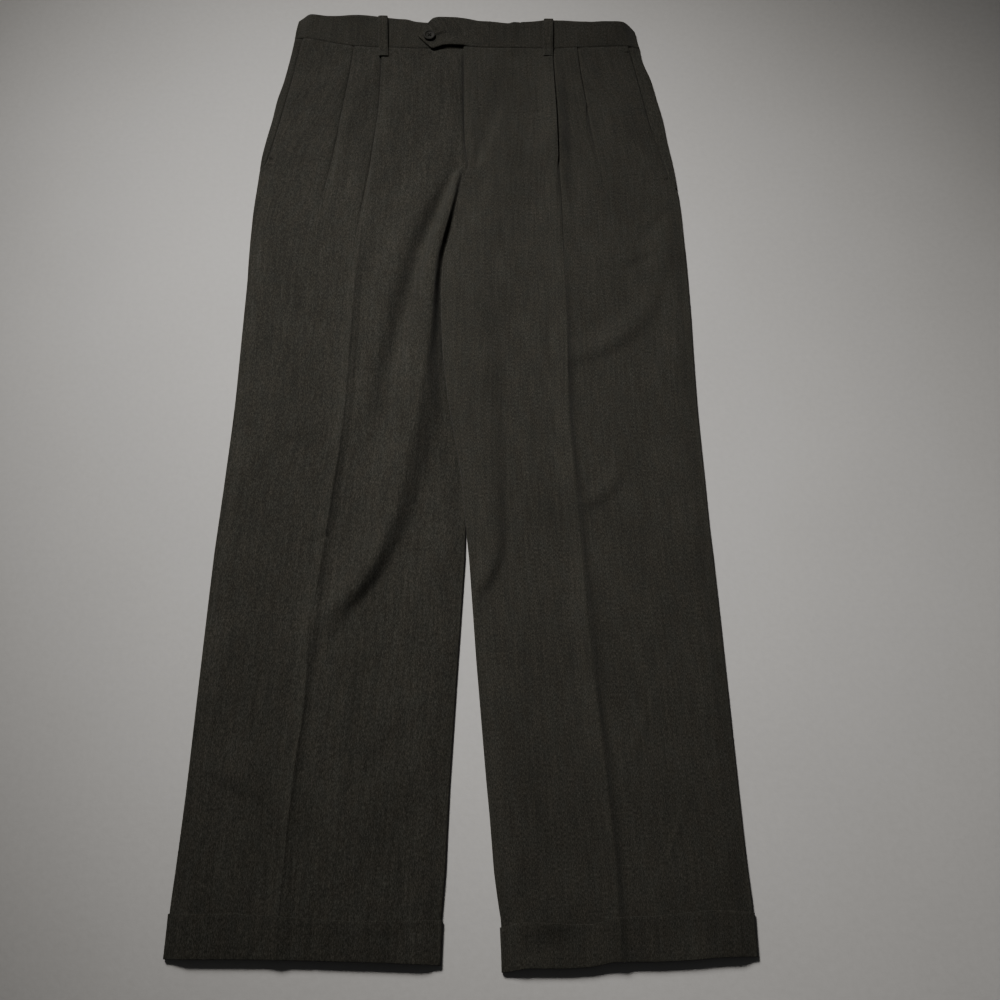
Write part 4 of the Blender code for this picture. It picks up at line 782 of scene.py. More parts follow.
def cloth_detail(leg, creases, grid, seed):
    """All creases and the unevenness of one panel, fading out at the garment's edges."""
    across, up = grid[..., 0], grid[..., 1]
    total = add_creases(unevenness(across, up, seed), leg, creases, across, up)
    from_side = (across - side_edge(leg, up)) * SIGN[leg]
    from_inseam = (inseam_edge(leg, np.minimum(up, FORK)) - across) * SIGN[leg]
    fade = soft_step((from_side - EDGE_RADIUS) / DETAIL_FADE["side"])
    inseam = soft_step((from_inseam - EDGE_RADIUS) / DETAIL_FADE["inseam"])
    waist = soft_step((DETAIL_END - up) / DETAIL_FADE["waist"])
    return total * fade * np.where(up < FORK, inseam, 1.0) * waist


# --- sections: columns of inward distance and height, from the outer edge to the inner one ---


def spaced(start, end, count):
    """Places from just after start up to end."""
    return start + (end - start) * np.arange(1, count + 1) / count


def on_level(places, level):
    return np.column_stack([places, level(places)])


def edge_arc(edge, centre_height, closed, level, outer, upper):
    """Where the cloth curls round a leg's edge. closed is 1 for the whole curl and 0 for a flat end."""
    radius = EDGE_RADIUS - CLOTH / 2
    toward, over = (-1.0 if outer else 1.0), (1.0 if upper else -1.0)
    flat = np.linspace(1, 0, ARC_COUNT) if outer else np.linspace(0, 1, ARC_COUNT)
    angle = np.radians(90.0 - (90.0 - SEAM_HALF_ANGLE) * closed * flat)
    start = edge - toward * EDGE_RADIUS * closed - toward * (1 - closed) * (1 - flat) * FLAT_END
    inward = start + toward * radius * np.cos(angle)
    base = closed * centre_height + (1 - closed) * (level(inward) - over * radius)
    return np.column_stack([inward, base + over * radius * np.sin(angle)])


def pleat_at(leg, name, up):
    pleat = PLEATS[leg, name]
    values = {column: float(at(pleat, column, up)) for column in PLEAT_COLUMNS[1:]}
    values["across"] *= SIGN[leg]
    values["radius"] = max(values["radius"] - PLEAT_TIGHTER, PLEAT_LEAST_RADIUS)
    return values


def pleat_section(fold, level):
    """A reverse pleat's points, its rise from the lower layer to the upper one, and its reach."""
    radius, turned = fold["radius"], math.radians(fold["turn"])
    first = np.linspace(0, turned, TURN_COUNT)
    lower = np.column_stack([radius * np.sin(first), radius * (1 - np.cos(first))])
    shares = np.arange(1, DEPTH_COUNT + 1)[:, None] / (DEPTH_COUNT + 1)
    along = np.array([math.cos(turned), math.sin(turned)]) * fold["depth"]
    end = lower[-1] + along
    second = np.linspace(turned, 0, TURN_COUNT)
    upper = np.column_stack([
        end[0] + radius * (math.sin(turned) - np.sin(second)),
        end[1] + radius * (np.cos(second) - math.cos(turned)),
    ])
    shape = np.vstack([lower, lower[-1] + along * shares, upper])
    shape[:, 0] += np.linspace(0, PLEAT_SPREAD * (1 - fold["turn"] / 180.0), len(shape))
    shape[:, 0] += fold["across"] - shape[:, 0].min()
    rise = shape[-1, 1]
    shape[:, 1] += level(shape[:, 0])
    return shape, rise, shape[:, 0].max()


def beside_fold(start, fold, count, level, up):
    """The cloth up to a pleat's folded edge, with the dip that it makes along it."""
    edge = fold["across"]
    places = np.concatenate([spaced(start, edge - GROOVE_STEPS[0], count), edge - GROOVE_STEPS[1:]])
    depth = GROOVE["depth"] * soft_step(fold["turn"] / 90.0)
    depth *= soft_step((WAIST_STATION - up) / GROOVE["fade"])
    dip = depth * hump(places - edge + GROOVE["shift"], GROOVE["width"])
    return np.column_stack([places, level(places) - dip])


def raised_after(level, rise, reach, ease):
    """The level past a pleat that ends at reach, where its rise is eased away."""
    def raised(inward):
        return level(inward) + rise * (1 - soft_step((inward - reach - PLEAT_CLEAR) / ease))

    return raised


def band_over(leg, across):
    """The level of the middle of a front's cloth where it ends under the band's lower edge."""
    level = right_band_level(across, 0.0) if leg == "right" else band_level(across, 0.0)
    return level + BAND_CLOTH / 2 - CLOTH / 2 - WAIST_STEP


def fit_to_band(leg, points, up):
    """The last rows below the waist, moved so that the pleated cloth ends level with the band."""
    share = float(soft_step((up - WAIST_STATION + WAIST_FIT) / WAIST_FIT))
    if share == 0.0:
        return points
    places = np.arange(points[0, 0], points[:, 0].max() + ENVELOPE_STEP, ENVELOPE_STEP)
    near = np.abs(points[:, 0][None, :] - places[:, None]) < ENVELOPE_REACH
    highest = np.where(near, points[:, 1][None, :], -np.inf).max(axis=1)
    filled = np.interp(places, places[np.isfinite(highest)], highest[np.isfinite(highest)])
    kernel = np.ones(ENVELOPE_SMOOTH) / ENVELOPE_SMOOTH
    smooth = np.convolve(np.pad(filled, ENVELOPE_SMOOTH // 2, mode="edge"), kernel, mode="valid")
    top = np.interp(points[:, 0], places, smooth)
    points[:, 1] += share * (band_over(leg, points[:, 0] * SIGN[leg]) - top)
    return points


def inner_places(leg, up, start, end):
    """Places between the inner pleat and the panel's end, close together on the roll's steep side."""
    guide = float(at(FOLDS[0]["crest"], "across", up)) if leg == "right" else (start + end) / 2
    earliest, length = start + ROLL_FINE["from_pleat"], ROLL_FINE["length"]
    steep = min(max(guide - ROLL_FINE["before"], earliest), end - length - ROLL_FINE["from_end"])
    stops = (start, steep, steep + length, end)
    runs = zip(stops, stops[1:], FRONT_COUNTS["rest"])
    return np.concatenate([spaced(first, last, count) for first, last, count in runs])[:-1]


def front_section(leg, up):
    """A front's points at a station: its outer edge, its two pleats, and on to its inner edge."""
    sign, radius, closed_inner = SIGN[leg], EDGE_RADIUS - CLOTH / 2, inseam_closed(up)
    outer_edge, inner_edge = front_outer_edge(leg, up) * sign, front_inner_edge(leg, up) * sign

    def level(inward):
        return front_level(leg, np.asarray(inward) * sign, up)

    centre = level(outer_edge + EDGE_RADIUS) - radius
    parts = [edge_arc(outer_edge, centre, side_closed(leg, up), level, outer=True, upper=True)]
    reach = parts[0][-1, 0]
    for name in ("outer", "inner"):
        fold = pleat_at(leg, name, up)
        parts.append(beside_fold(reach, fold, FRONT_COUNTS[name], level, up))
        shape, rise, reach = pleat_section(fold, level)
        parts.append(shape)
        level = raised_after(level, rise, reach, PLEAT_EASE + PLEAT_EASE_GROWTH[name] * rise)
    centre = level(inner_edge - EDGE_RADIUS * closed_inner) - radius
    closing = edge_arc(inner_edge, centre, closed_inner, level, outer=False, upper=True)
    places = inner_places(leg, up, reach, closing[0, 0])
    return fit_to_band(leg, np.vstack([*parts, on_level(places, level), closing]), up)


def back_section(leg, up):
    sign, radius, closed_inner = SIGN[leg], EDGE_RADIUS - CLOTH / 2, inseam_closed(up)
    outer_edge, inner_edge = side_edge(leg, up) * sign, back_inner_edge(leg, up) * sign

    def level(inward):
        return back_level(leg, np.asarray(inward) * sign, up)

    centre = level(outer_edge + EDGE_RADIUS) + radius
    opening = edge_arc(outer_edge, centre, 1.0, level, outer=True, upper=False)
    centre = level(inner_edge - EDGE_RADIUS * closed_inner) + radius
    closing = edge_arc(inner_edge, centre, closed_inner, level, outer=False, upper=False)
    places = spaced(opening[-1, 0], closing[0, 0], BACK_COUNT + 1)[:-1]
    return np.vstack([opening, on_level(places, level), closing])


def facing_section(leg, up):
    """A pocket facing's points: from the side's edge to where it ends under the front."""
    sign = SIGN[leg]
    pocket = at(POCKETS[leg], "across", up) * sign
    narrowing = soft_step((up - POCKET_END[leg]) / POCKET_FLARE)
    under = POCKET_LEAST_UNDERLAP + (POCKET_UNDERLAP - POCKET_LEAST_UNDERLAP) * narrowing
    height = 2 * EDGE_RADIUS - CLOTH / 2
    fitted = soft_step((up - WAIST_STATION + WAIST_FIT) / WAIST_FIT)

    def level(inward):
        inward = np.asarray(inward)
        dip = hump(inward - pocket + FACING_DIP["shift"], FACING_DIP["width"])
        dipped = height - FACING_DIP["depth"] * dip
        hidden = FACING_UNDER["depth"] * soft_step((inward - pocket) / FACING_UNDER["ease"] + 1.0)
        return dipped + fitted * np.maximum(band_over(leg, inward * sign) - hidden - dipped, 0)

    centre = height - EDGE_RADIUS + CLOTH / 2
    opening = edge_arc(side_edge(leg, up) * sign, centre, 1.0, level, outer=True, upper=True)
    stops = (opening[-1, 0], pocket - FACING_FINE["before"], pocket + FACING_FINE["past"], pocket + under)
    places = np.concatenate([spaced(first, last, FACING_COUNT) for first, last in zip(stops, stops[1:])])
    return np.vstack([opening, on_level(places, level)])


# --- grids and shells ---


def stations_between(low, high, step=ROW_STEP):
    return np.linspace(low, high, int(round((high - low) / step)) + 1)


def panel_grid(leg, stations, section, back=False):
    """The middle of a panel's cloth: rows up the leg of points (across, up, height)."""
    rows = []
    for station in stations:
        points = section(leg, float(station))
        across = points[:, 0] * SIGN[leg]
        up = real_up(across, station, back)
        if leg == "left" and not back:
            near_waist = soft_step((station - WAIST_STATION + WAIST_EASE) / WAIST_EASE)
            near_fly = 1 - soft_step((across - FLY_HIGH["from"]) / FLY_HIGH["reach"])
            up = up + FLY_HIGH["height"] * near_waist * near_fly
        rows.append(np.column_stack([across, up, points[:, 1]]))
    return np.array(rows)


def unit(vectors):
    return vectors / np.maximum(np.linalg.norm(vectors, axis=-1, keepdims=True), LEAST_NORM)


def grid_normals(grid, ring):
    """Which way the cloth faces at each point, upward in the grid's middle."""
    if ring:
        along = np.roll(grid, -1, axis=1) - np.roll(grid, 1, axis=1)
    else:
        along = np.gradient(grid, axis=1)
    normals = unit(np.cross(unit(along), unit(np.gradient(grid, axis=0))))
    middle = normals[len(grid) // 2, grid.shape[1] // 2]
    return normals * (1.0 if middle[2] > 0 else -1.0)


def padded(grid, ring):
    """The grid with one more row, and one more column, at each free edge."""
    first = grid[:1] + unit(grid[:1] - grid[1:2]) * RIM
    last = grid[-1:] + unit(grid[-1:] - grid[-2:-1]) * RIM
    grid = np.concatenate([first, grid, last])
    if ring:
        return grid
    first = grid[:, :1] + unit(grid[:, :1] - grid[:, 1:2]) * RIM
    last = grid[:, -1:] + unit(grid[:, -1:] - grid[:, -2:-1]) * RIM
    return np.concatenate([first, grid, last], axis=1)


def cloth_places(grid, zero_column):
    """Where each point lies in the flat cloth: how far from the zero column, and how far up."""
    steps = np.linalg.norm(np.diff(grid, axis=1), axis=2)
    run = np.concatenate([np.zeros((len(grid), 1)), np.cumsum(steps, axis=1)], axis=1)
    return run - run[:, zero_column : zero_column + 1], grid[:, :, 1]


def add_shell(name, grid, thickness, material, ring=False, zero_column=0):
    """A closed sheet of cloth round a grid of points, with rounded edges and its own cloth places."""
    grid = padded(grid, ring)
    normals = grid_normals(grid, ring)
    half = np.full(grid.shape[:2], thickness / 2)
    half[[0, -1]] *= RIM_SHARE
    if not ring:
        half[1:-1, [0, -1]] *= RIM_SHARE
        zero_column += 1
    outside, inside = grid + normals * half[..., None], grid - normals * half[..., None]
    points = np.concatenate([outside.reshape(-1, 3), inside.reshape(-1, 3)])
    piece = add_mesh(name, points, shell_faces(*grid.shape[:2], ring).tolist(), material)
    mark_cloth(piece, cloth_places(grid, zero_column))
    return piece


def shell_faces(rows, columns, ring):
    """The faces of both sides of a sheet, and of the rims that join them."""
    other = rows * columns
    numbers = np.arange(other).reshape(rows, columns)
    following = np.roll(numbers, -1, axis=1)
    if not ring:
        numbers, following = numbers[:, :-1], following[:, :-1]
    top = np.stack([numbers[:-1], following[:-1], following[1:], numbers[1:]], axis=-1).reshape(-1, 4)
    rims = []
    for row in (0, rows - 1):
        ends = np.column_stack([numbers[row], numbers[row] + other, following[row] + other, following[row]])
        rims.append(ends if row == 0 else ends[:, ::-1])
    if not ring:
        for column in (0, columns - 1):
            line = np.arange(rows) * columns + column
            ends = np.column_stack([line[:-1], line[1:], line[1:] + other, line[:-1] + other])
            rims.append(ends if column == 0 else ends[:, ::-1])
    return np.concatenate([top, top[:, ::-1] + other, *rims])


def add_mesh(name, points, faces, material, smooth=True):
    """A mesh object from points in millimetres, with the garment's middle at the origin."""
    points = np.array(points, float)
    points[:, 1] -= LENGTH / 2
    mesh = bpy.data.meshes.new(name)
    mesh.from_pydata((points * MILLIMETRE).tolist(), [], faces)
    data = bmesh.new()
    data.from_mesh(mesh)
    bmesh.ops.recalc_face_normals(data, faces=data.faces)
    data.to_mesh(mesh)
    data.free()
    mesh.materials.append(material)
    mesh.polygons.foreach_set("use_smooth", [smooth] * len(mesh.polygons))
    thing = bpy.data.objects.new(name, mesh)
    bpy.context.scene.collection.objects.link(thing)
    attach(thing, "root")
    return thing


def mark_cloth(thing, places):
    """Writes each point's place in the flat cloth to the mesh, for the weave to follow."""
    across, up = (np.concatenate([values.reshape(-1)] * 2) for values in places)
    mark = thing.data.attributes.new("cloth", "FLOAT_VECTOR", "POINT")
    mark.data.foreach_set("vector", np.column_stack([across, up, 0 * up]).reshape(-1))


# --- materials ---


class Nodes:
    """A new material, with short calls that add nodes to it and link them."""

    def __init__(self, name):
        self.material = bpy.data.materials.new(name)
        self.material.use_nodes = True
        self.tree = self.material.node_tree

    def add(self, kind, inputs=(), **settings):
        node = self.tree.nodes.new(kind)
        for key, value in settings.items():
            setattr(node, key, value)
        for key, value in dict(inputs).items():
            self.put(node.inputs[key], value)
        return node

    def put(self, socket, value):
        if isinstance(value, bpy.types.NodeSocket):
            self.tree.links.new(value, socket)
        else:
            socket.default_value = value

    def object_place(self):
        return self.add("ShaderNodeTexCoord").outputs["Object"]

    def scaled(self, vector, scale, offset=(0, 0, 0)):
        node = self.add("ShaderNodeMapping", {"Vector": vector, "Scale": scale, "Location": offset})
        return node.outputs[0]

    def noise(self, vector, detail=2.0, scale=1.0):
        inputs = {"Vector": vector, "Scale": scale, "Detail": detail, "Roughness": 0.6}
        return self.add("ShaderNodeTexNoise", inputs).outputs["Fac"]

    def bands(self, vector, scale, direction, distortion=0.0):
        inputs = {"Vector": vector, "Scale": scale, "Distortion": distortion}
        node = self.add("ShaderNodeTexWave", inputs, wave_type="BANDS", bands_direction=direction)
        return node.outputs["Fac"]

    def ramp(self, value, stops):
        node = self.add("ShaderNodeValToRGB", {"Fac": value})
        elements = node.color_ramp.elements
        while len(elements) < len(stops):
            elements.new(0.5)
        for element, (position, colour) in zip(elements, stops):
            element.position = position
            element.color = (*colour, 1)
        return node.outputs[0]

    def math(self, operation, first, second):
        return self.add("ShaderNodeMath", {0: first, 1: second}, operation=operation).outputs[0]

    def total(self, *terms):
        """The sum of some values, each times its weight."""
        total, *others = (self.math("MULTIPLY", value, weight) for value, weight in terms)
        for other in others:
            total = self.math("ADD", total, other)
        return total

    def centred(self, value):
        return self.math("SUBTRACT", value, 0.5)

    def multiplied(self, first, second):
        node = self.add("ShaderNodeMix", data_type="RGBA", blend_type="MULTIPLY")
        for socket, value in (("Factor", 1.0), (6, first), (7, second)):
            self.put(node.inputs[socket], value)
        return node.outputs[2]

    def bump(self, height, distance, strength):
        inputs = {"Height": height, "Distance": distance, "Strength": strength}
        return self.add("ShaderNodeBump", inputs).outputs[0]

    def finish(self, **inputs):
        """Sets the shader's inputs and returns the material."""
        shader = self.tree.nodes["Principled BSDF"]
        for key, value in inputs.items():
            self.put(shader.inputs[key.replace("_", " ")], value)
        return self.material


def grey(value):
    return (value, value, value)


def wool_material(name, offset):
    """Fine worsted in two shades of yarn: mottled streaks along the warp over a close weave."""
    nodes = Nodes(name)
    place = nodes.add("ShaderNodeAttribute", attribute_name="cloth").outputs["Vector"]
    shift = (offset, offset * 0.7, offset * 1.3)
    streaks = nodes.noise(nodes.scaled(place, (1.55, 0.40, 1), shift), detail=3.0)
    flecks = nodes.noise(nodes.scaled(place, (2.4, 1.1, 1), shift), detail=1.0)
    long_streaks = nodes.noise(nodes.scaled(place, (0.42, 0.02, 1), shift), detail=2.0)
    clouds = nodes.noise(nodes.scaled(place, (0.022, 0.013, 1), shift), detail=2.0)
    yarn = nodes.total(
        (streaks, 0.62), (flecks, 0.38), (nodes.centred(long_streaks), 0.14), (nodes.centred(clouds), 0.09)
    )
    colour = nodes.ramp(yarn, [(0.34, WOOL_DARK), (0.50, WOOL_MIDDLE), (0.68, WOOL_LIGHT)])
    warm = nodes.noise(nodes.scaled(place, (0.09, 0.05, 1), (7.0, 3.0, 0)), detail=1.0)
    tint = nodes.ramp(warm, [(0.35, WOOL_COOL_TINT), (0.65, WOOL_WARM_TINT)])
    weave = nodes.bands(nodes.scaled(place, (1, 1, 0)), 0.62, "DIAGONAL")
    ribs = nodes.bands(nodes.scaled(place, (1, 1, 0)), 0.7, "X")
    fuzz = nodes.noise(nodes.scaled(place, (5.0, 4.0, 1)), detail=2.0)
    relief = nodes.total((weave, 0.5), (ribs, 0.5), (streaks, 0.9), (fuzz, 0.6))
    return nodes.finish(
        Base_Color=nodes.multiplied(colour, tint),
        Roughness=nodes.ramp(flecks, [(0.3, grey(0.86)), (0.7, grey(1.0))]),
        Normal=nodes.bump(relief, 0.00022, 0.4),
        Sheen_Weight=0.06,
        Sheen_Roughness=0.5,
        Specular_IOR_Level=0.1,
    )


def horn_material():
    """Dark horn with a faint cloudy grain, satin on top."""
    nodes = Nodes("horn")
    place = nodes.object_place()
    clouds = nodes.noise(nodes.scaled(place, (260, 620, 300)), detail=4.0)
    scratches = nodes.noise(nodes.scaled(place, (900, 4200, 900)), detail=3.0)
    return nodes.finish(
        Base_Color=nodes.ramp(clouds, [(0.3, HORN_DARK), (0.6, HORN_MIDDLE), (0.8, HORN_LIGHT)]),
        Roughness=nodes.ramp(clouds, [(0.3, grey(0.6)), (0.8, grey(0.74))]),
        Normal=nodes.bump(scratches, 0.00006, 0.4),
        Specular_IOR_Level=0.2,
    )


def thread_material():
    """Dark sewing thread with a twist."""
    nodes = Nodes("thread")
    twist = nodes.bands(nodes.object_place(), 900.0, "DIAGONAL", distortion=1.5)
    return nodes.finish(
        Base_Color=nodes.ramp(twist, [(0.0, THREAD_DARK), (1.0, THREAD_LIGHT)]),
        Roughness=0.9,
        Normal=nodes.bump(twist, 0.0001, 0.5),
        Specular_IOR_Level=0.1,
    )


def floor_material():
    """A plain pale floor with a faint mottle, so that it isn't one flat tone."""
    nodes = Nodes("floor")
    place = nodes.object_place()
    broad = nodes.noise(place, detail=3.0, scale=2.2)
    fine = nodes.noise(place, detail=4.0, scale=160.0)
    mottle = nodes.total((broad, 0.6), (fine, 0.4))
    return nodes.finish(
        Base_Color=nodes.ramp(mottle, [(0.35, FLOOR_DARK), (0.65, FLOOR_LIGHT)]),
        Roughness=0.9,
        Normal=nodes.bump(fine, 0.0008, 0.25),
        Specular_IOR_Level=0.1,
    )


# --- the panels ---


def dress(kind, side, grid, thickness=CLOTH, **shape):
    """The sheet of wool that takes the place of one of the part's nodes, on one side or on neither."""
    ending = "_" + side if side else ""
    node = kind + ending
    material = wool_material("wool_" + node, WOOL_OFFSETS[node])
    piece = add_shell(kind + "_cloth" + ending, grid, thickness, material, **shape)
    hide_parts(node)
    return piece


def add_front(leg):
    grid = panel_grid(leg, stations_between(LEG_END, WAIST_STATION), front_section)
    detail = cloth_detail(leg, CREASES, grid, SEEDS["front_" + leg])
    room = np.maximum(grid[..., 2] - LOWEST_FRONT, 0)
    grid[..., 2] += np.maximum(detail, -room)
    return dress("front", leg, grid, zero_column=FRONT_ZERO)


def add_back(leg):
    stations = stations_between(LEG_END, WAIST_STATION, BACK_ROW_STEP)
    grid = panel_grid(leg, stations, back_section, back=True)
    lift = cloth_detail(leg, BACK_CREASES, grid, SEEDS["back_" + leg])
    grid[..., 2] += np.maximum(lift, 0) * BACK_DETAIL
    return dress("back", leg, grid, zero_column=ARC_COUNT + BACK_COUNT // 2)


def add_facing(leg):
    stations = stations_between(POCKET_END[leg] + FACING_START, WAIST_STATION)
    return dress("pocket_facing", leg, panel_grid(leg, stations, facing_section))


# --- the cuffs ---


def cuff_outline(leg, station):
    """The leg's closed outline at a station, with its outward normals, and what lies on the front."""
    front, back = front_section(leg, station), back_section(leg, station)[::-1]
    loop = np.vstack([front, back])
    along = np.roll(loop, -1, axis=0) - np.roll(loop, 1, axis=0)
    normals = unit(np.column_stack([-along[:, 1], along[:, 0]]))
    on_front = np.concatenate([np.ones(len(front)), np.zeros(len(back))])
    return loop, normals, on_front


def cuff_row(leg, station, out, gape):
    """One row round a cuff. gape is 0 at the hem and 1 at the cuff's free top edge."""
    loop, normals, on_front = cuff_outline(leg, max(station, LEG_END))
    across = loop[:, 0] * SIGN[leg]
    spread = CUFF_GAPE * on_front
    if leg == "left":
        spread += CUFF_SAG["height"] * hump(across - CUFF_SAG["across"], CUFF_SAG["width"]) * on_front
    points = loop + normals * (out + spread * gape**2)[:, None]
    return np.column_stack([points[:, 0] * SIGN[leg], real_up(across, station), points[:, 1]])


def add_cuff(leg):
    """A cuff: down the outside from its free edge, round its fold at the hem, and up inside the leg."""
    fold_radius = CUFF_OUT / 2
    bottom = fold_radius + CLOTH / 2
    rows = []
    for station in np.linspace(CUFF_STATION - CUFF_END_GAP, bottom, CUFF_ROWS):
        rows.append(cuff_row(leg, station, CUFF_OUT, (station - bottom) / (CUFF_STATION - bottom)))
    for angle in np.linspace(0, np.pi, CUFF_FOLD_ROWS + 2)[1:-1]:
        out = fold_radius * (1 + math.cos(angle))
        rows.append(cuff_row(leg, bottom - fold_radius * math.sin(angle), out, 0.0))
    rows.append(cuff_row(leg, CUFF_INSIDE, 0.0, 0.0))
    grid = np.array(rows)
    across, up = grid[..., 0], grid[..., 1]
    detail = add_creases(CUFF_WAVES * unevenness(across, up, SEEDS["cuff"]), leg, CUFF_CREASES, across, up)
    grid[..., 2] += detail * soft_step((grid[..., 2] - CUFF_UPPER["height"]) / CUFF_UPPER["ease"])
    return dress("cuff", leg, grid, ring=True)


# --- the waistband ---


def band_puckers(across, part):
    """Soft upright ridges and dents of the band, strongest toward its top edge."""
    total = np.zeros_like(across)
    for place, width, height, slant in BAND_PUCKERS:
        total += height * hump(across - place - slant * (part - 0.5), width)
    return total * (PUCKER_LEAST + (1 - PUCKER_LEAST) * part)


def band_level(across, part):
    """Middle of the front band's cloth: part is 0 at its seam and 1 at its top edge."""
    up = WAIST_STATION + BAND_STATIONS * part
    from_side = np.minimum(across - side_edge("right", up), side_edge("left", up) - across)
    share = soft_step((from_side - BAND_EDGE_RADIUS) / BAND_SOFT_EDGE)
    rise = BAND_RISE_BOTTOM + (BAND_RISE_TOP - BAND_RISE_BOTTOM) * part
    waves = sum(height * np.sin(across / length + phase) for height, length, phase in BAND_WAVES)
    return BAND_LEVEL + (rise + BAND_WAVE * part * waves + band_puckers(across, part)) * share


def right_band_level(across, part):
    return band_level(across, part) - at(BAND_DROP, "depth", across, key="across")


def tab_level(across, part):
    return right_band_level(across, part) + TAB_STEP


def band_up(across, on_back, part):
    """How far up the garment a row of the band lies, by the lines of its front or of its back."""
    low = np.where(on_back, line_up(BACK_WAIST_SEAM, across), line_up(WAIST_SEAM, across)) + SEAM_GAP
    high = np.where(on_back, line_up(BACK_BAND_TOP, across), line_up(BAND_TOP, across))
    return low + (high - low) * part


def band_row(leg, part, level, end):
    """One row round a half of the band: the front, the side's edge and the back."""
    sign = SIGN[leg]
    up = WAIST_STATION + BAND_STATIONS * part
    edge = float(side_edge(leg, up))
    radius = BAND_EDGE_RADIUS - BAND_CLOTH / 2
    centre = edge + sign * BAND_EDGE_RADIUS
    front = np.concatenate([[end], spaced(end, centre, BAND_FRONT_COUNT)])
    angle = np.radians(np.linspace(90, -90, BAND_ARC_COUNT))[1:-1]
    back_end = float(at(CENTRE_BACK, "across", up)) - sign * SEAM_GAP / 2
    back = np.concatenate([[centre], spaced(centre, back_end, BAND_BACK_COUNT)])
    top_of_arc = level(np.array([centre]), part)[0] - BAND_EDGE_RADIUS
    arc_height = BAND_EDGE_RADIUS + np.where(angle > 0, top_of_arc, radius) * np.sin(angle)
    across = np.concatenate([front, centre - sign * radius * np.cos(angle), back])
    height = np.concatenate([level(front, part), arc_height, np.full(len(back), BAND_CLOTH / 2)])
    on_back = np.arange(len(across)) >= len(across) - len(back)
    corner = 1 - soft_step((across - edge) * sign / BAND_CORNER["width"])
    drop = BAND_CORNER["drop"] * corner * part**3
    return np.column_stack([across, band_up(across, on_back, part) - drop, height])


def add_band(leg, level, end):
    grid = np.array([band_row(leg, part, level, end) for part in np.linspace(0, 1, BAND_ROWS)])
    return dress("waistband", leg, grid, BAND_CLOTH)


def tab_part(across, up):
    """A height on the band as a share of the way from its seam to its top edge."""
    return (up - TAB_BASE) / (line_up(BAND_TOP, across) - TAB_BASE)


def add_tab():
    """The pointed tab, with its free lower edge standing off a little."""
    across = np.concatenate([np.linspace(*run) for run in TAB_RUNS])
    low, high = (at(TAB, edge, across, key="across") for edge in ("bottom", "top"))
    free = soft_step((across - TAB_FREE["start"]) / TAB_FREE["rise"])
    free = free * (1 - soft_step((across - TAB_FREE["end"]) / TAB_FREE["fall"]))
    grid = []
    for share in np.linspace(0, 1, TAB_ROWS):
        up = low + (high - low) * share
        lifted = TAB_LIFT["height"] * (1 - soft_step((up - low) / TAB_LIFT["reach"])) * free
        grid.append(np.column_stack([across, up, tab_level(across, tab_part(across, up)) + lifted]))
    return dress("waist_tab", "", np.array(grid), BAND_CLOTH)


# --- belt loops ---


def highest_near(across, up):
    """The highest cloth of the band, or of the pleated front below it, at a point near the waist."""
    seam, top = float(line_up(WAIST_SEAM, across)), float(line_up(BAND_TOP, across))
    if up >= seam:
        return float(band_level(np.array([across]), min((up - seam) / (top - seam), 1.0))[0]) + BAND_CLOTH / 2
    leg = "right" if across < 0 else "left"
    points = front_section(leg, WAIST_STATION - (seam - up))
    near = np.abs(points[:, 0] - across * SIGN[leg]) < LOOP_NEAR
    return float(points[near, 1].max()) + CLOTH / 2


def loop_place(side, top_up, part):
    """The middle of a loop, across and up, at a share of the way down it."""
    top_across, bottom_across = LOOP_ACROSS[side]
    return top_across + (bottom_across - top_across) * part, top_up + (LOOP_BOTTOM_UP - top_up) * part


def loop_top(side):
    return float(line_up(BAND_TOP, LOOP_ACROSS[side][0]))


def add_loop(side):
    """A belt loop: its ends lie on the band and the front, and its middle stands clear of them."""
    half = LOOP_WIDTH / 2
    shifts = np.linspace(-half, half, LOOP_COLUMNS)
    crown = LOOP_CROWN * (1 - (shifts / half) ** 4)
    grid = []
    for part in np.linspace(0, 1, LOOP_ROWS):
        across, up = loop_place(side, loop_top(side) + LOOP_TOP, part)
        under = max(highest_near(across + shift, up) for shift in (-half, 0, half))
        clear = LOOP_CLEAR * float(at(LOOP_ARCH, "clear", part, key="part"))
        height = under + SEAM_GAP + CLOTH / 2 + clear
        grid.append(np.column_stack([across + shifts, np.full(len(shifts), up), height + crown]))
    return dress("belt_loop", side, smooth_rows(np.array(grid)))


def smooth_rows(grid):
    """The grid with its heights evened out along its length, so that nothing sinks much."""
    for _ in range(LOOP_SMOOTHING["rounds"]):
        heights = grid[..., 2]
        even = (heights[:-2] + 2 * heights[1:-1] + heights[2:]) / 4
        heights[1:-1] = np.maximum(even, heights[1:-1] - LOOP_SMOOTHING["sink"])
    return grid


# --- button and thread ---


def button_plane():
    """The button's base height, and its slopes across and up, as it lies on the tab."""
    part = float(tab_part(BUTTON_ACROSS, BUTTON_UP))
    span = float(line_up(BAND_TOP, BUTTON_ACROSS)) - TAB_BASE

    def level(across, where):
        return float(tab_level(np.array([across]), where)[0])

    step = BUTTON_SLOPE_STEP
    slope_up = (level(BUTTON_ACROSS, part + step) - level(BUTTON_ACROSS, part - step)) / (2 * step * span)
    slope_across = level(BUTTON_ACROSS + 0.5, part) - level(BUTTON_ACROSS - 0.5, part)
    reaches = (-BUTTON_REACH, 0.0, BUTTON_REACH)
    highest = max(level(BUTTON_ACROSS + reach, part) - slope_across * reach for reach in reaches)
    return highest + BAND_CLOTH / 2 + SEAM_GAP, slope_across, slope_up


def on_button(points):
    """Points on the button's own axes, placed on the tab."""
    base, slope_across, slope_up = button_plane()
    x, y, z = np.array(points, float).T
    tilt = slope_across * x + slope_up * y
    return np.column_stack([x + BUTTON_ACROSS, y + BUTTON_UP, z + base + tilt])


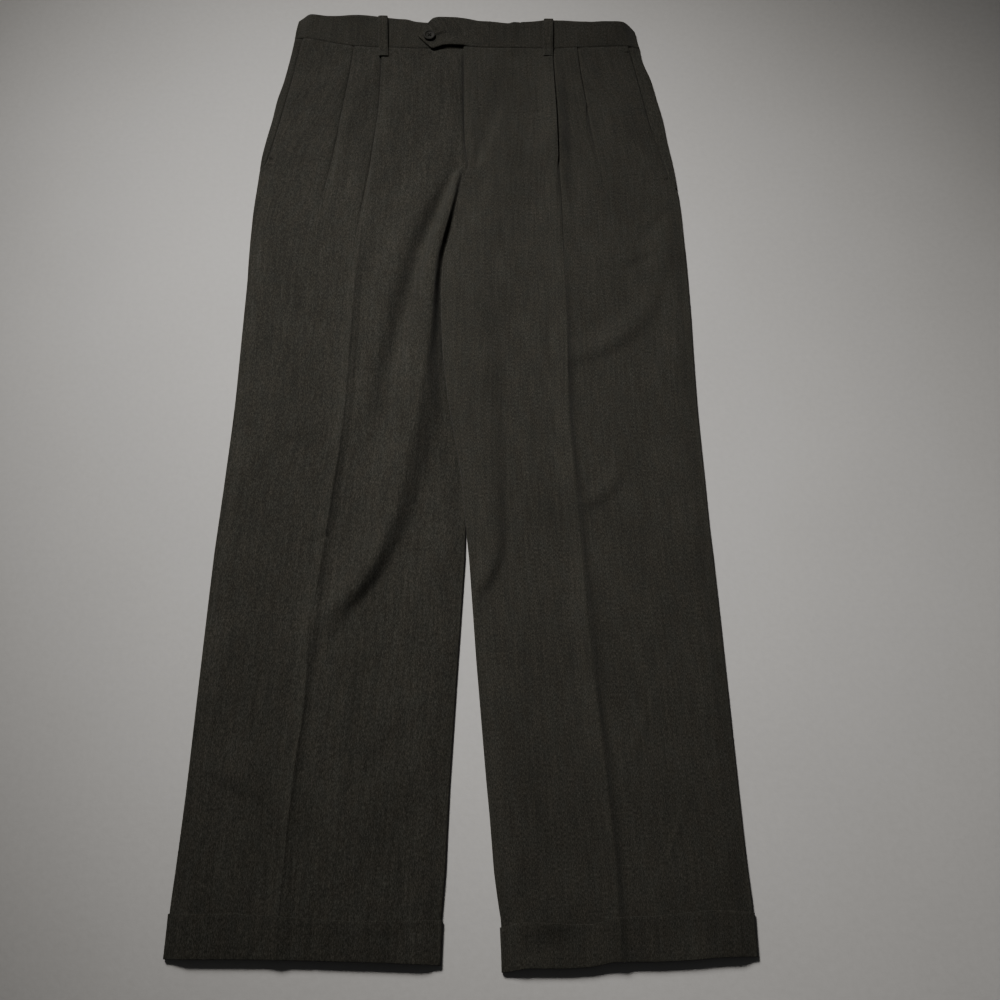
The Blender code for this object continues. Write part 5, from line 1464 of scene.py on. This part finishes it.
def around(count, radius=1.0):
    """Points round a circle."""
    angles = np.linspace(0, 2 * np.pi, count, endpoint=False)
    return [(radius * math.cos(angle), radius * math.sin(angle)) for angle in angles]


def turned_button():
    """The points and the faces of the button's profile, spun round its axis."""
    radii, heights = BUTTON_PROFILE["radius"], BUTTON_PROFILE["height"]
    points, faces = [(0, 0, heights[0])], []
    for radius, height in zip(radii[1:-1], heights[1:-1]):
        points += [(x, y, height) for x, y in around(BUTTON_SEGMENTS, radius)]
    points.append((0, 0, heights[-1]))
    last = len(points) - 1 - BUTTON_SEGMENTS
    for k in range(BUTTON_SEGMENTS):
        n = (k + 1) % BUTTON_SEGMENTS
        faces.append((0, 1 + n, 1 + k))
        for low in range(1, last, BUTTON_SEGMENTS):
            high = low + BUTTON_SEGMENTS
            faces.append((low + k, low + n, high + n, high + k))
        faces.append((last + k, last + n, len(points) - 1))
    return points, faces


def add_button(material):
    """A turned four-hole button: its profile spun round, then the holes cut through."""
    points, faces = turned_button()
    button = add_mesh("button_horn", on_button(points), faces, material)
    for cutter in hole_cutters(material):
        cut = button.modifiers.new("hole", "BOOLEAN")
        cut.operation, cut.object = "DIFFERENCE", cutter
        bpy.context.view_layer.objects.active = button
        bpy.ops.object.modifier_apply(modifier=cut.name)
        bpy.data.objects.remove(cutter, do_unlink=True)
    button.data.set_sharp_from_angle(angle=math.radians(BUTTON_SHARP))
    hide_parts("button")


def hole_places():
    reach = BUTTON_HOLE["offset"] * math.sqrt(2)
    for quarter in range(4):
        angle = math.radians(45 + 90 * quarter)
        yield reach * math.cos(angle), reach * math.sin(angle)


def hole_cutters(material):
    sides = BUTTON_HOLE["sides"]
    for number, (x, y) in enumerate(hole_places()):
        ring = [(x + dx, y + dy) for dx, dy in around(sides, BUTTON_HOLE["radius"])]
        points = [(*place, height) for height in (BUTTON_HOLE["low"], BUTTON_HOLE["high"]) for place in ring]
        faces = [tuple(range(sides))[::-1], tuple(range(sides, 2 * sides))]
        faces += [(k, (k + 1) % sides, (k + 1) % sides + sides, k + sides) for k in range(sides)]
        yield add_mesh(f"hole_cutter_{number}", on_button(points), faces, material, smooth=False)


def tube(path, radius, sides):
    """Points and faces of a thread along a path, closed at both ends."""
    path = np.array(path, float)
    ahead = unit(np.gradient(path, axis=0))
    side = unit(np.cross(ahead, np.array(THREAD_OVER)))
    over = np.cross(side, ahead)
    ends = np.ones(len(path))
    ends[[0, -1]] = THREAD_END
    points = []
    for x, y in around(sides):
        points.append(path + (side * x + over * y) * radius * ends[:, None])
    points = np.stack(points, axis=1).reshape(-1, 3)
    faces = [tuple(range(sides))[::-1], tuple(range(len(points) - sides, len(points)))]
    for row in range(len(path) - 1):
        for k in range(sides):
            n = (k + 1) % sides
            faces.append((row * sides + k, row * sides + n, (row + 1) * sides + n, (row + 1) * sides + k))
    return points, faces


def add_threads(name, paths, radius, material, sides=THREAD_SIDES):
    """Many short threads as one piece."""
    points, faces, count = [], [], 0
    for path in paths:
        new_points, new_faces = tube(path, radius, sides)
        points.append(new_points)
        faces += [tuple(corner + count for corner in face) for face in new_faces]
        count += len(new_points)
    add_mesh(name, np.concatenate(points), faces, material)


def add_button_thread(material):
    """Two crossing bars of thread lying between the button's holes."""
    holes = np.array(list(hole_places()))
    paths = []
    for (start, end), rise in zip((holes[[0, 2]], holes[[1, 3]]), BUTTON_THREAD["rises"]):
        ahead = (end - start) / np.linalg.norm(end - start)
        for shift in BUTTON_THREAD["shifts"]:
            aside = np.array([-ahead[1], ahead[0]]) * shift
            path = []
            for t in np.linspace(0, 1, BUTTON_THREAD["steps"]):
                x, y = start + (end - start) * t + aside
                full = math.sin(math.pi * t) ** BUTTON_THREAD["fullness"]
                path.append((x, y, BUTTON_THREAD["base"] + rise * full))
            paths.append(on_button(path))
    add_threads("button_thread", paths, THICK_THREAD_RADIUS, material, BUTTON_THREAD["sides"])


# --- sewing ---


def mesh_points(piece):
    """A piece's points, in millimetres, for laying threads on it."""
    points = np.empty(len(piece.data.vertices) * 3)
    piece.data.vertices.foreach_get("co", points)
    points = points.reshape(-1, 3) / MILLIMETRE
    points[:, 1] += LENGTH / 2
    return points


def height_on(points, across, up):
    """The top of the cloth near a place, from the mesh's own points within reach."""
    near = (np.abs(points[:, 0] - across) < NEAR_REACH) & (np.abs(points[:, 1] - up) < NEAR_REACH)
    close = points[near]
    if not len(close):
        return 0.0
    top = close[close[:, 2] > close[:, 2].max() - NEAR_DEPTH]
    away = np.hypot(top[:, 0] - across, top[:, 1] - up) + NEAR_LEAST
    return float(np.average(top[:, 2], weights=1 / away**2))


def stitches_along(places, points):
    """Short stitches along a line on a mesh's points, dipping into the cloth at both ends."""
    places = np.array(places, float)
    lengths = np.concatenate([[0], np.cumsum(np.linalg.norm(np.diff(places, axis=0), axis=1))])
    paths, start = [], 0.0
    while start + STITCH < lengths[-1]:
        path = []
        for t in np.linspace(0, 1, STITCH_STEPS):
            along = start + STITCH * t
            across, up = (float(np.interp(along, lengths, places[:, k])) for k in (0, 1))
            dip = THREAD_RADIUS * STITCH_DIP * (1 - math.sin(math.pi * t) ** 0.5)
            path.append((across, up, height_on(points, across, up) + THREAD_RADIUS * 0.5 - dip))
        paths.append(path)
        start += STITCH + STITCH_GAP
    return paths


def bar_tack(points, start, end, up, steps):
    """One thread of a bar tack, laid across the cloth."""
    return [(x, up, height_on(points, x, up) + TACK_LIFT) for x in np.linspace(start, end, steps)]


def add_pocket_stitching(leg, front, material):
    """A line of stitches along the pocket's edge, and a bar tack at each of its ends."""
    sign, points = SIGN[leg], mesh_points(front)

    def pocket(up):
        return float(at(POCKETS[leg], "across", up))

    ups = np.arange(POCKET_END[leg] + POCKET_SEWN["start"], POCKET_SEWN["end"], POCKET_SEWN["step"])
    paths = stitches_along([(pocket(up) + sign * POCKET_SEWN["inward"], up) for up in ups], points)
    for up in (POCKET_END[leg] + POCKET_TACK["start"], POCKET_TACK["end"]):
        start, end = (pocket(up) + sign * reach for reach in POCKET_TACK["inward"])
        for row in np.arange(*POCKET_TACK["rows"]):
            paths.append(bar_tack(points, start, end, up + row, POCKET_TACK["steps"]))
    add_threads("pocket_stitching_" + leg, paths, THREAD_RADIUS, material)


def add_loop_stitching(side, loop, material):
    """A line of stitches along each edge of a belt loop, and a bar tack across its foot."""
    points, paths = mesh_points(loop), []
    bottom_across = LOOP_ACROSS[side][1]
    edge = LOOP_WIDTH / 2 - LOOP_SEWN["inward"]
    for shift in (-edge, edge):
        line = [loop_place(side, loop_top(side), part) for part in np.linspace(*LOOP_SEWN["parts"])]
        paths += stitches_along([(across + shift, up) for across, up in line], points)
    reach = LOOP_WIDTH / 2 - LOOP_TACK["inward"]
    for row in np.arange(*LOOP_TACK["rows"]):
        up = LOOP_BOTTOM_UP + LOOP_TACK["up"] + row
        paths.append(bar_tack(points, bottom_across - reach, bottom_across + reach, up, LOOP_TACK["steps"]))
    add_threads("belt_loop_stitching_" + side, paths, THREAD_RADIUS, material)


def buttonhole_outline(start, end, ahead, aside):
    """Points along a keyhole: up one side of its slit, round its eye, and back along the other side."""
    eye = end + ahead * BUTTONHOLE["eye"] * BUTTONHOLE["eye_past"]
    turn = np.pi * BUTTONHOLE["turn"]
    sides = np.linspace(0, 1, BUTTONHOLE["side_count"])
    outline = [start + (end - start) * t + aside * BUTTONHOLE["half"] for t in sides]
    for angle in np.linspace(turn, -turn, BUTTONHOLE["eye_count"]):
        outline.append(eye + (ahead * math.cos(angle) + aside * math.sin(angle)) * BUTTONHOLE["eye"])
    return outline + [start + (end - start) * t - aside * BUTTONHOLE["half"] for t in sides[::-1]]


def purl_stitch(points, place, out):
    """One short thread over the buttonhole's edge, highest in its middle."""
    path = []
    for t in np.linspace(*PURL["reach"], PURL["steps"]):
        x, y = place + out * t
        top = height_on(points, x, y) + PURL["lift"]
        path.append((x, y, top - PURL["fall"] * abs(t - PURL["middle"])))
    return path


def add_buttonhole(tab, material):
    """The end of a keyhole buttonhole that shows past the button: a slit ringed by close purl stitches."""
    points = mesh_points(tab)
    start, end = np.array(BUTTONHOLE["start"]), np.array(BUTTONHOLE["end"])
    ahead = (end - start) / np.linalg.norm(end - start)
    aside = np.array([-ahead[1], ahead[0]])
    slit = [start + (end - start) * t for t in np.linspace(0, 1, BUTTONHOLE["slit_count"])]
    centre = np.array([*slit, end + ahead * BUTTONHOLE["slit_end"]])
    paths = []
    for place in buttonhole_outline(start, end, ahead, aside):
        nearest = centre[np.argmin(np.linalg.norm(centre - place, axis=1))]
        paths.append(purl_stitch(points, place, unit(place - nearest)))
    add_threads("buttonhole_stitching", paths, THICK_THREAD_RADIUS, material)


# --- floor, light and camera ---


def add_floor():
    bpy.ops.mesh.primitive_plane_add(size=FLOOR_SIZE, location=(0, 0, -FLOOR_DROP))
    floor = bpy.context.object
    floor.name = "floor"
    floor.data.materials.append(floor_material())
    floor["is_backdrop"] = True


def add_spot(name, light):
    """A round soft light, aimed at a place on the floor."""
    data = bpy.data.lights.new(name, "SPOT")
    data.energy, data.color = light["power"], light["colour"]
    data.spot_size, data.spot_blend = math.radians(2 * light["half_angle"]), 1.0
    data.shadow_soft_size = LIGHT_RADIUS
    turn, height = math.radians(LIGHT_AZIMUTH), math.radians(LIGHT_ELEVATION)
    away = np.array([-math.sin(turn) * math.cos(height), math.cos(turn) * math.cos(height), math.sin(height)])
    thing = bpy.data.objects.new(name, data)
    thing.location = np.array(light["aim"]) + away * LIGHT_DISTANCE
    thing.rotation_euler = (math.pi / 2 - height, 0, turn + math.pi)
    bpy.context.scene.collection.objects.link(thing)


def add_light():
    for name, light in LIGHTS.items():
        add_spot(name, light)
    world = bpy.data.worlds.new("studio")
    bpy.context.scene.world = world
    world.use_nodes = True
    background = world.node_tree.nodes["Background"]
    background.inputs["Color"].default_value = WORLD_COLOUR
    background.inputs["Strength"].default_value = WORLD_LIGHT


def add_camera():
    data = bpy.data.cameras.new("camera")
    data.lens, data.sensor_width = CAMERA_LENS, CAMERA_SENSOR
    camera = bpy.data.objects.new("camera", data)
    camera.location = CAMERA_PLACE
    camera.rotation_euler = (math.radians(CAMERA_TILT), 0, 0)
    bpy.context.scene.collection.objects.link(camera)
    bpy.context.scene.camera = camera


# --- the whole ---


def declare_sheets():
    for name, width, length, area, held, below, sewn_on in CUTS:
        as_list(below)
        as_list(sewn_on)


def main():
    fronts = {leg: add_front(leg) for leg in SIGN}
    for leg in SIGN:
        add_back(leg)
        add_facing(leg)
        add_cuff(leg)
    add_band("right", right_band_level, RIGHT_BAND_END)
    add_band("left", band_level, TAB_SEAM + SEAM_GAP / 2)
    tab = add_tab()
    loops = {side: add_loop(side) for side in SIGN}
    add_button(horn_material())
    thread = thread_material()
    add_button_thread(thread)
    add_buttonhole(tab, thread)
    for side in SIGN:
        add_pocket_stitching(side, fronts[side], thread)
        add_loop_stitching(side, loops[side], thread)
    add_floor()
    add_light()
    add_camera()
    declare_sheets()


main()
visual_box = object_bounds()
boxes = {"cad": cad_box, "visual": visual_box}
{name: [list(map(float, corner)) for corner in box] for name, box in boxes.items()}
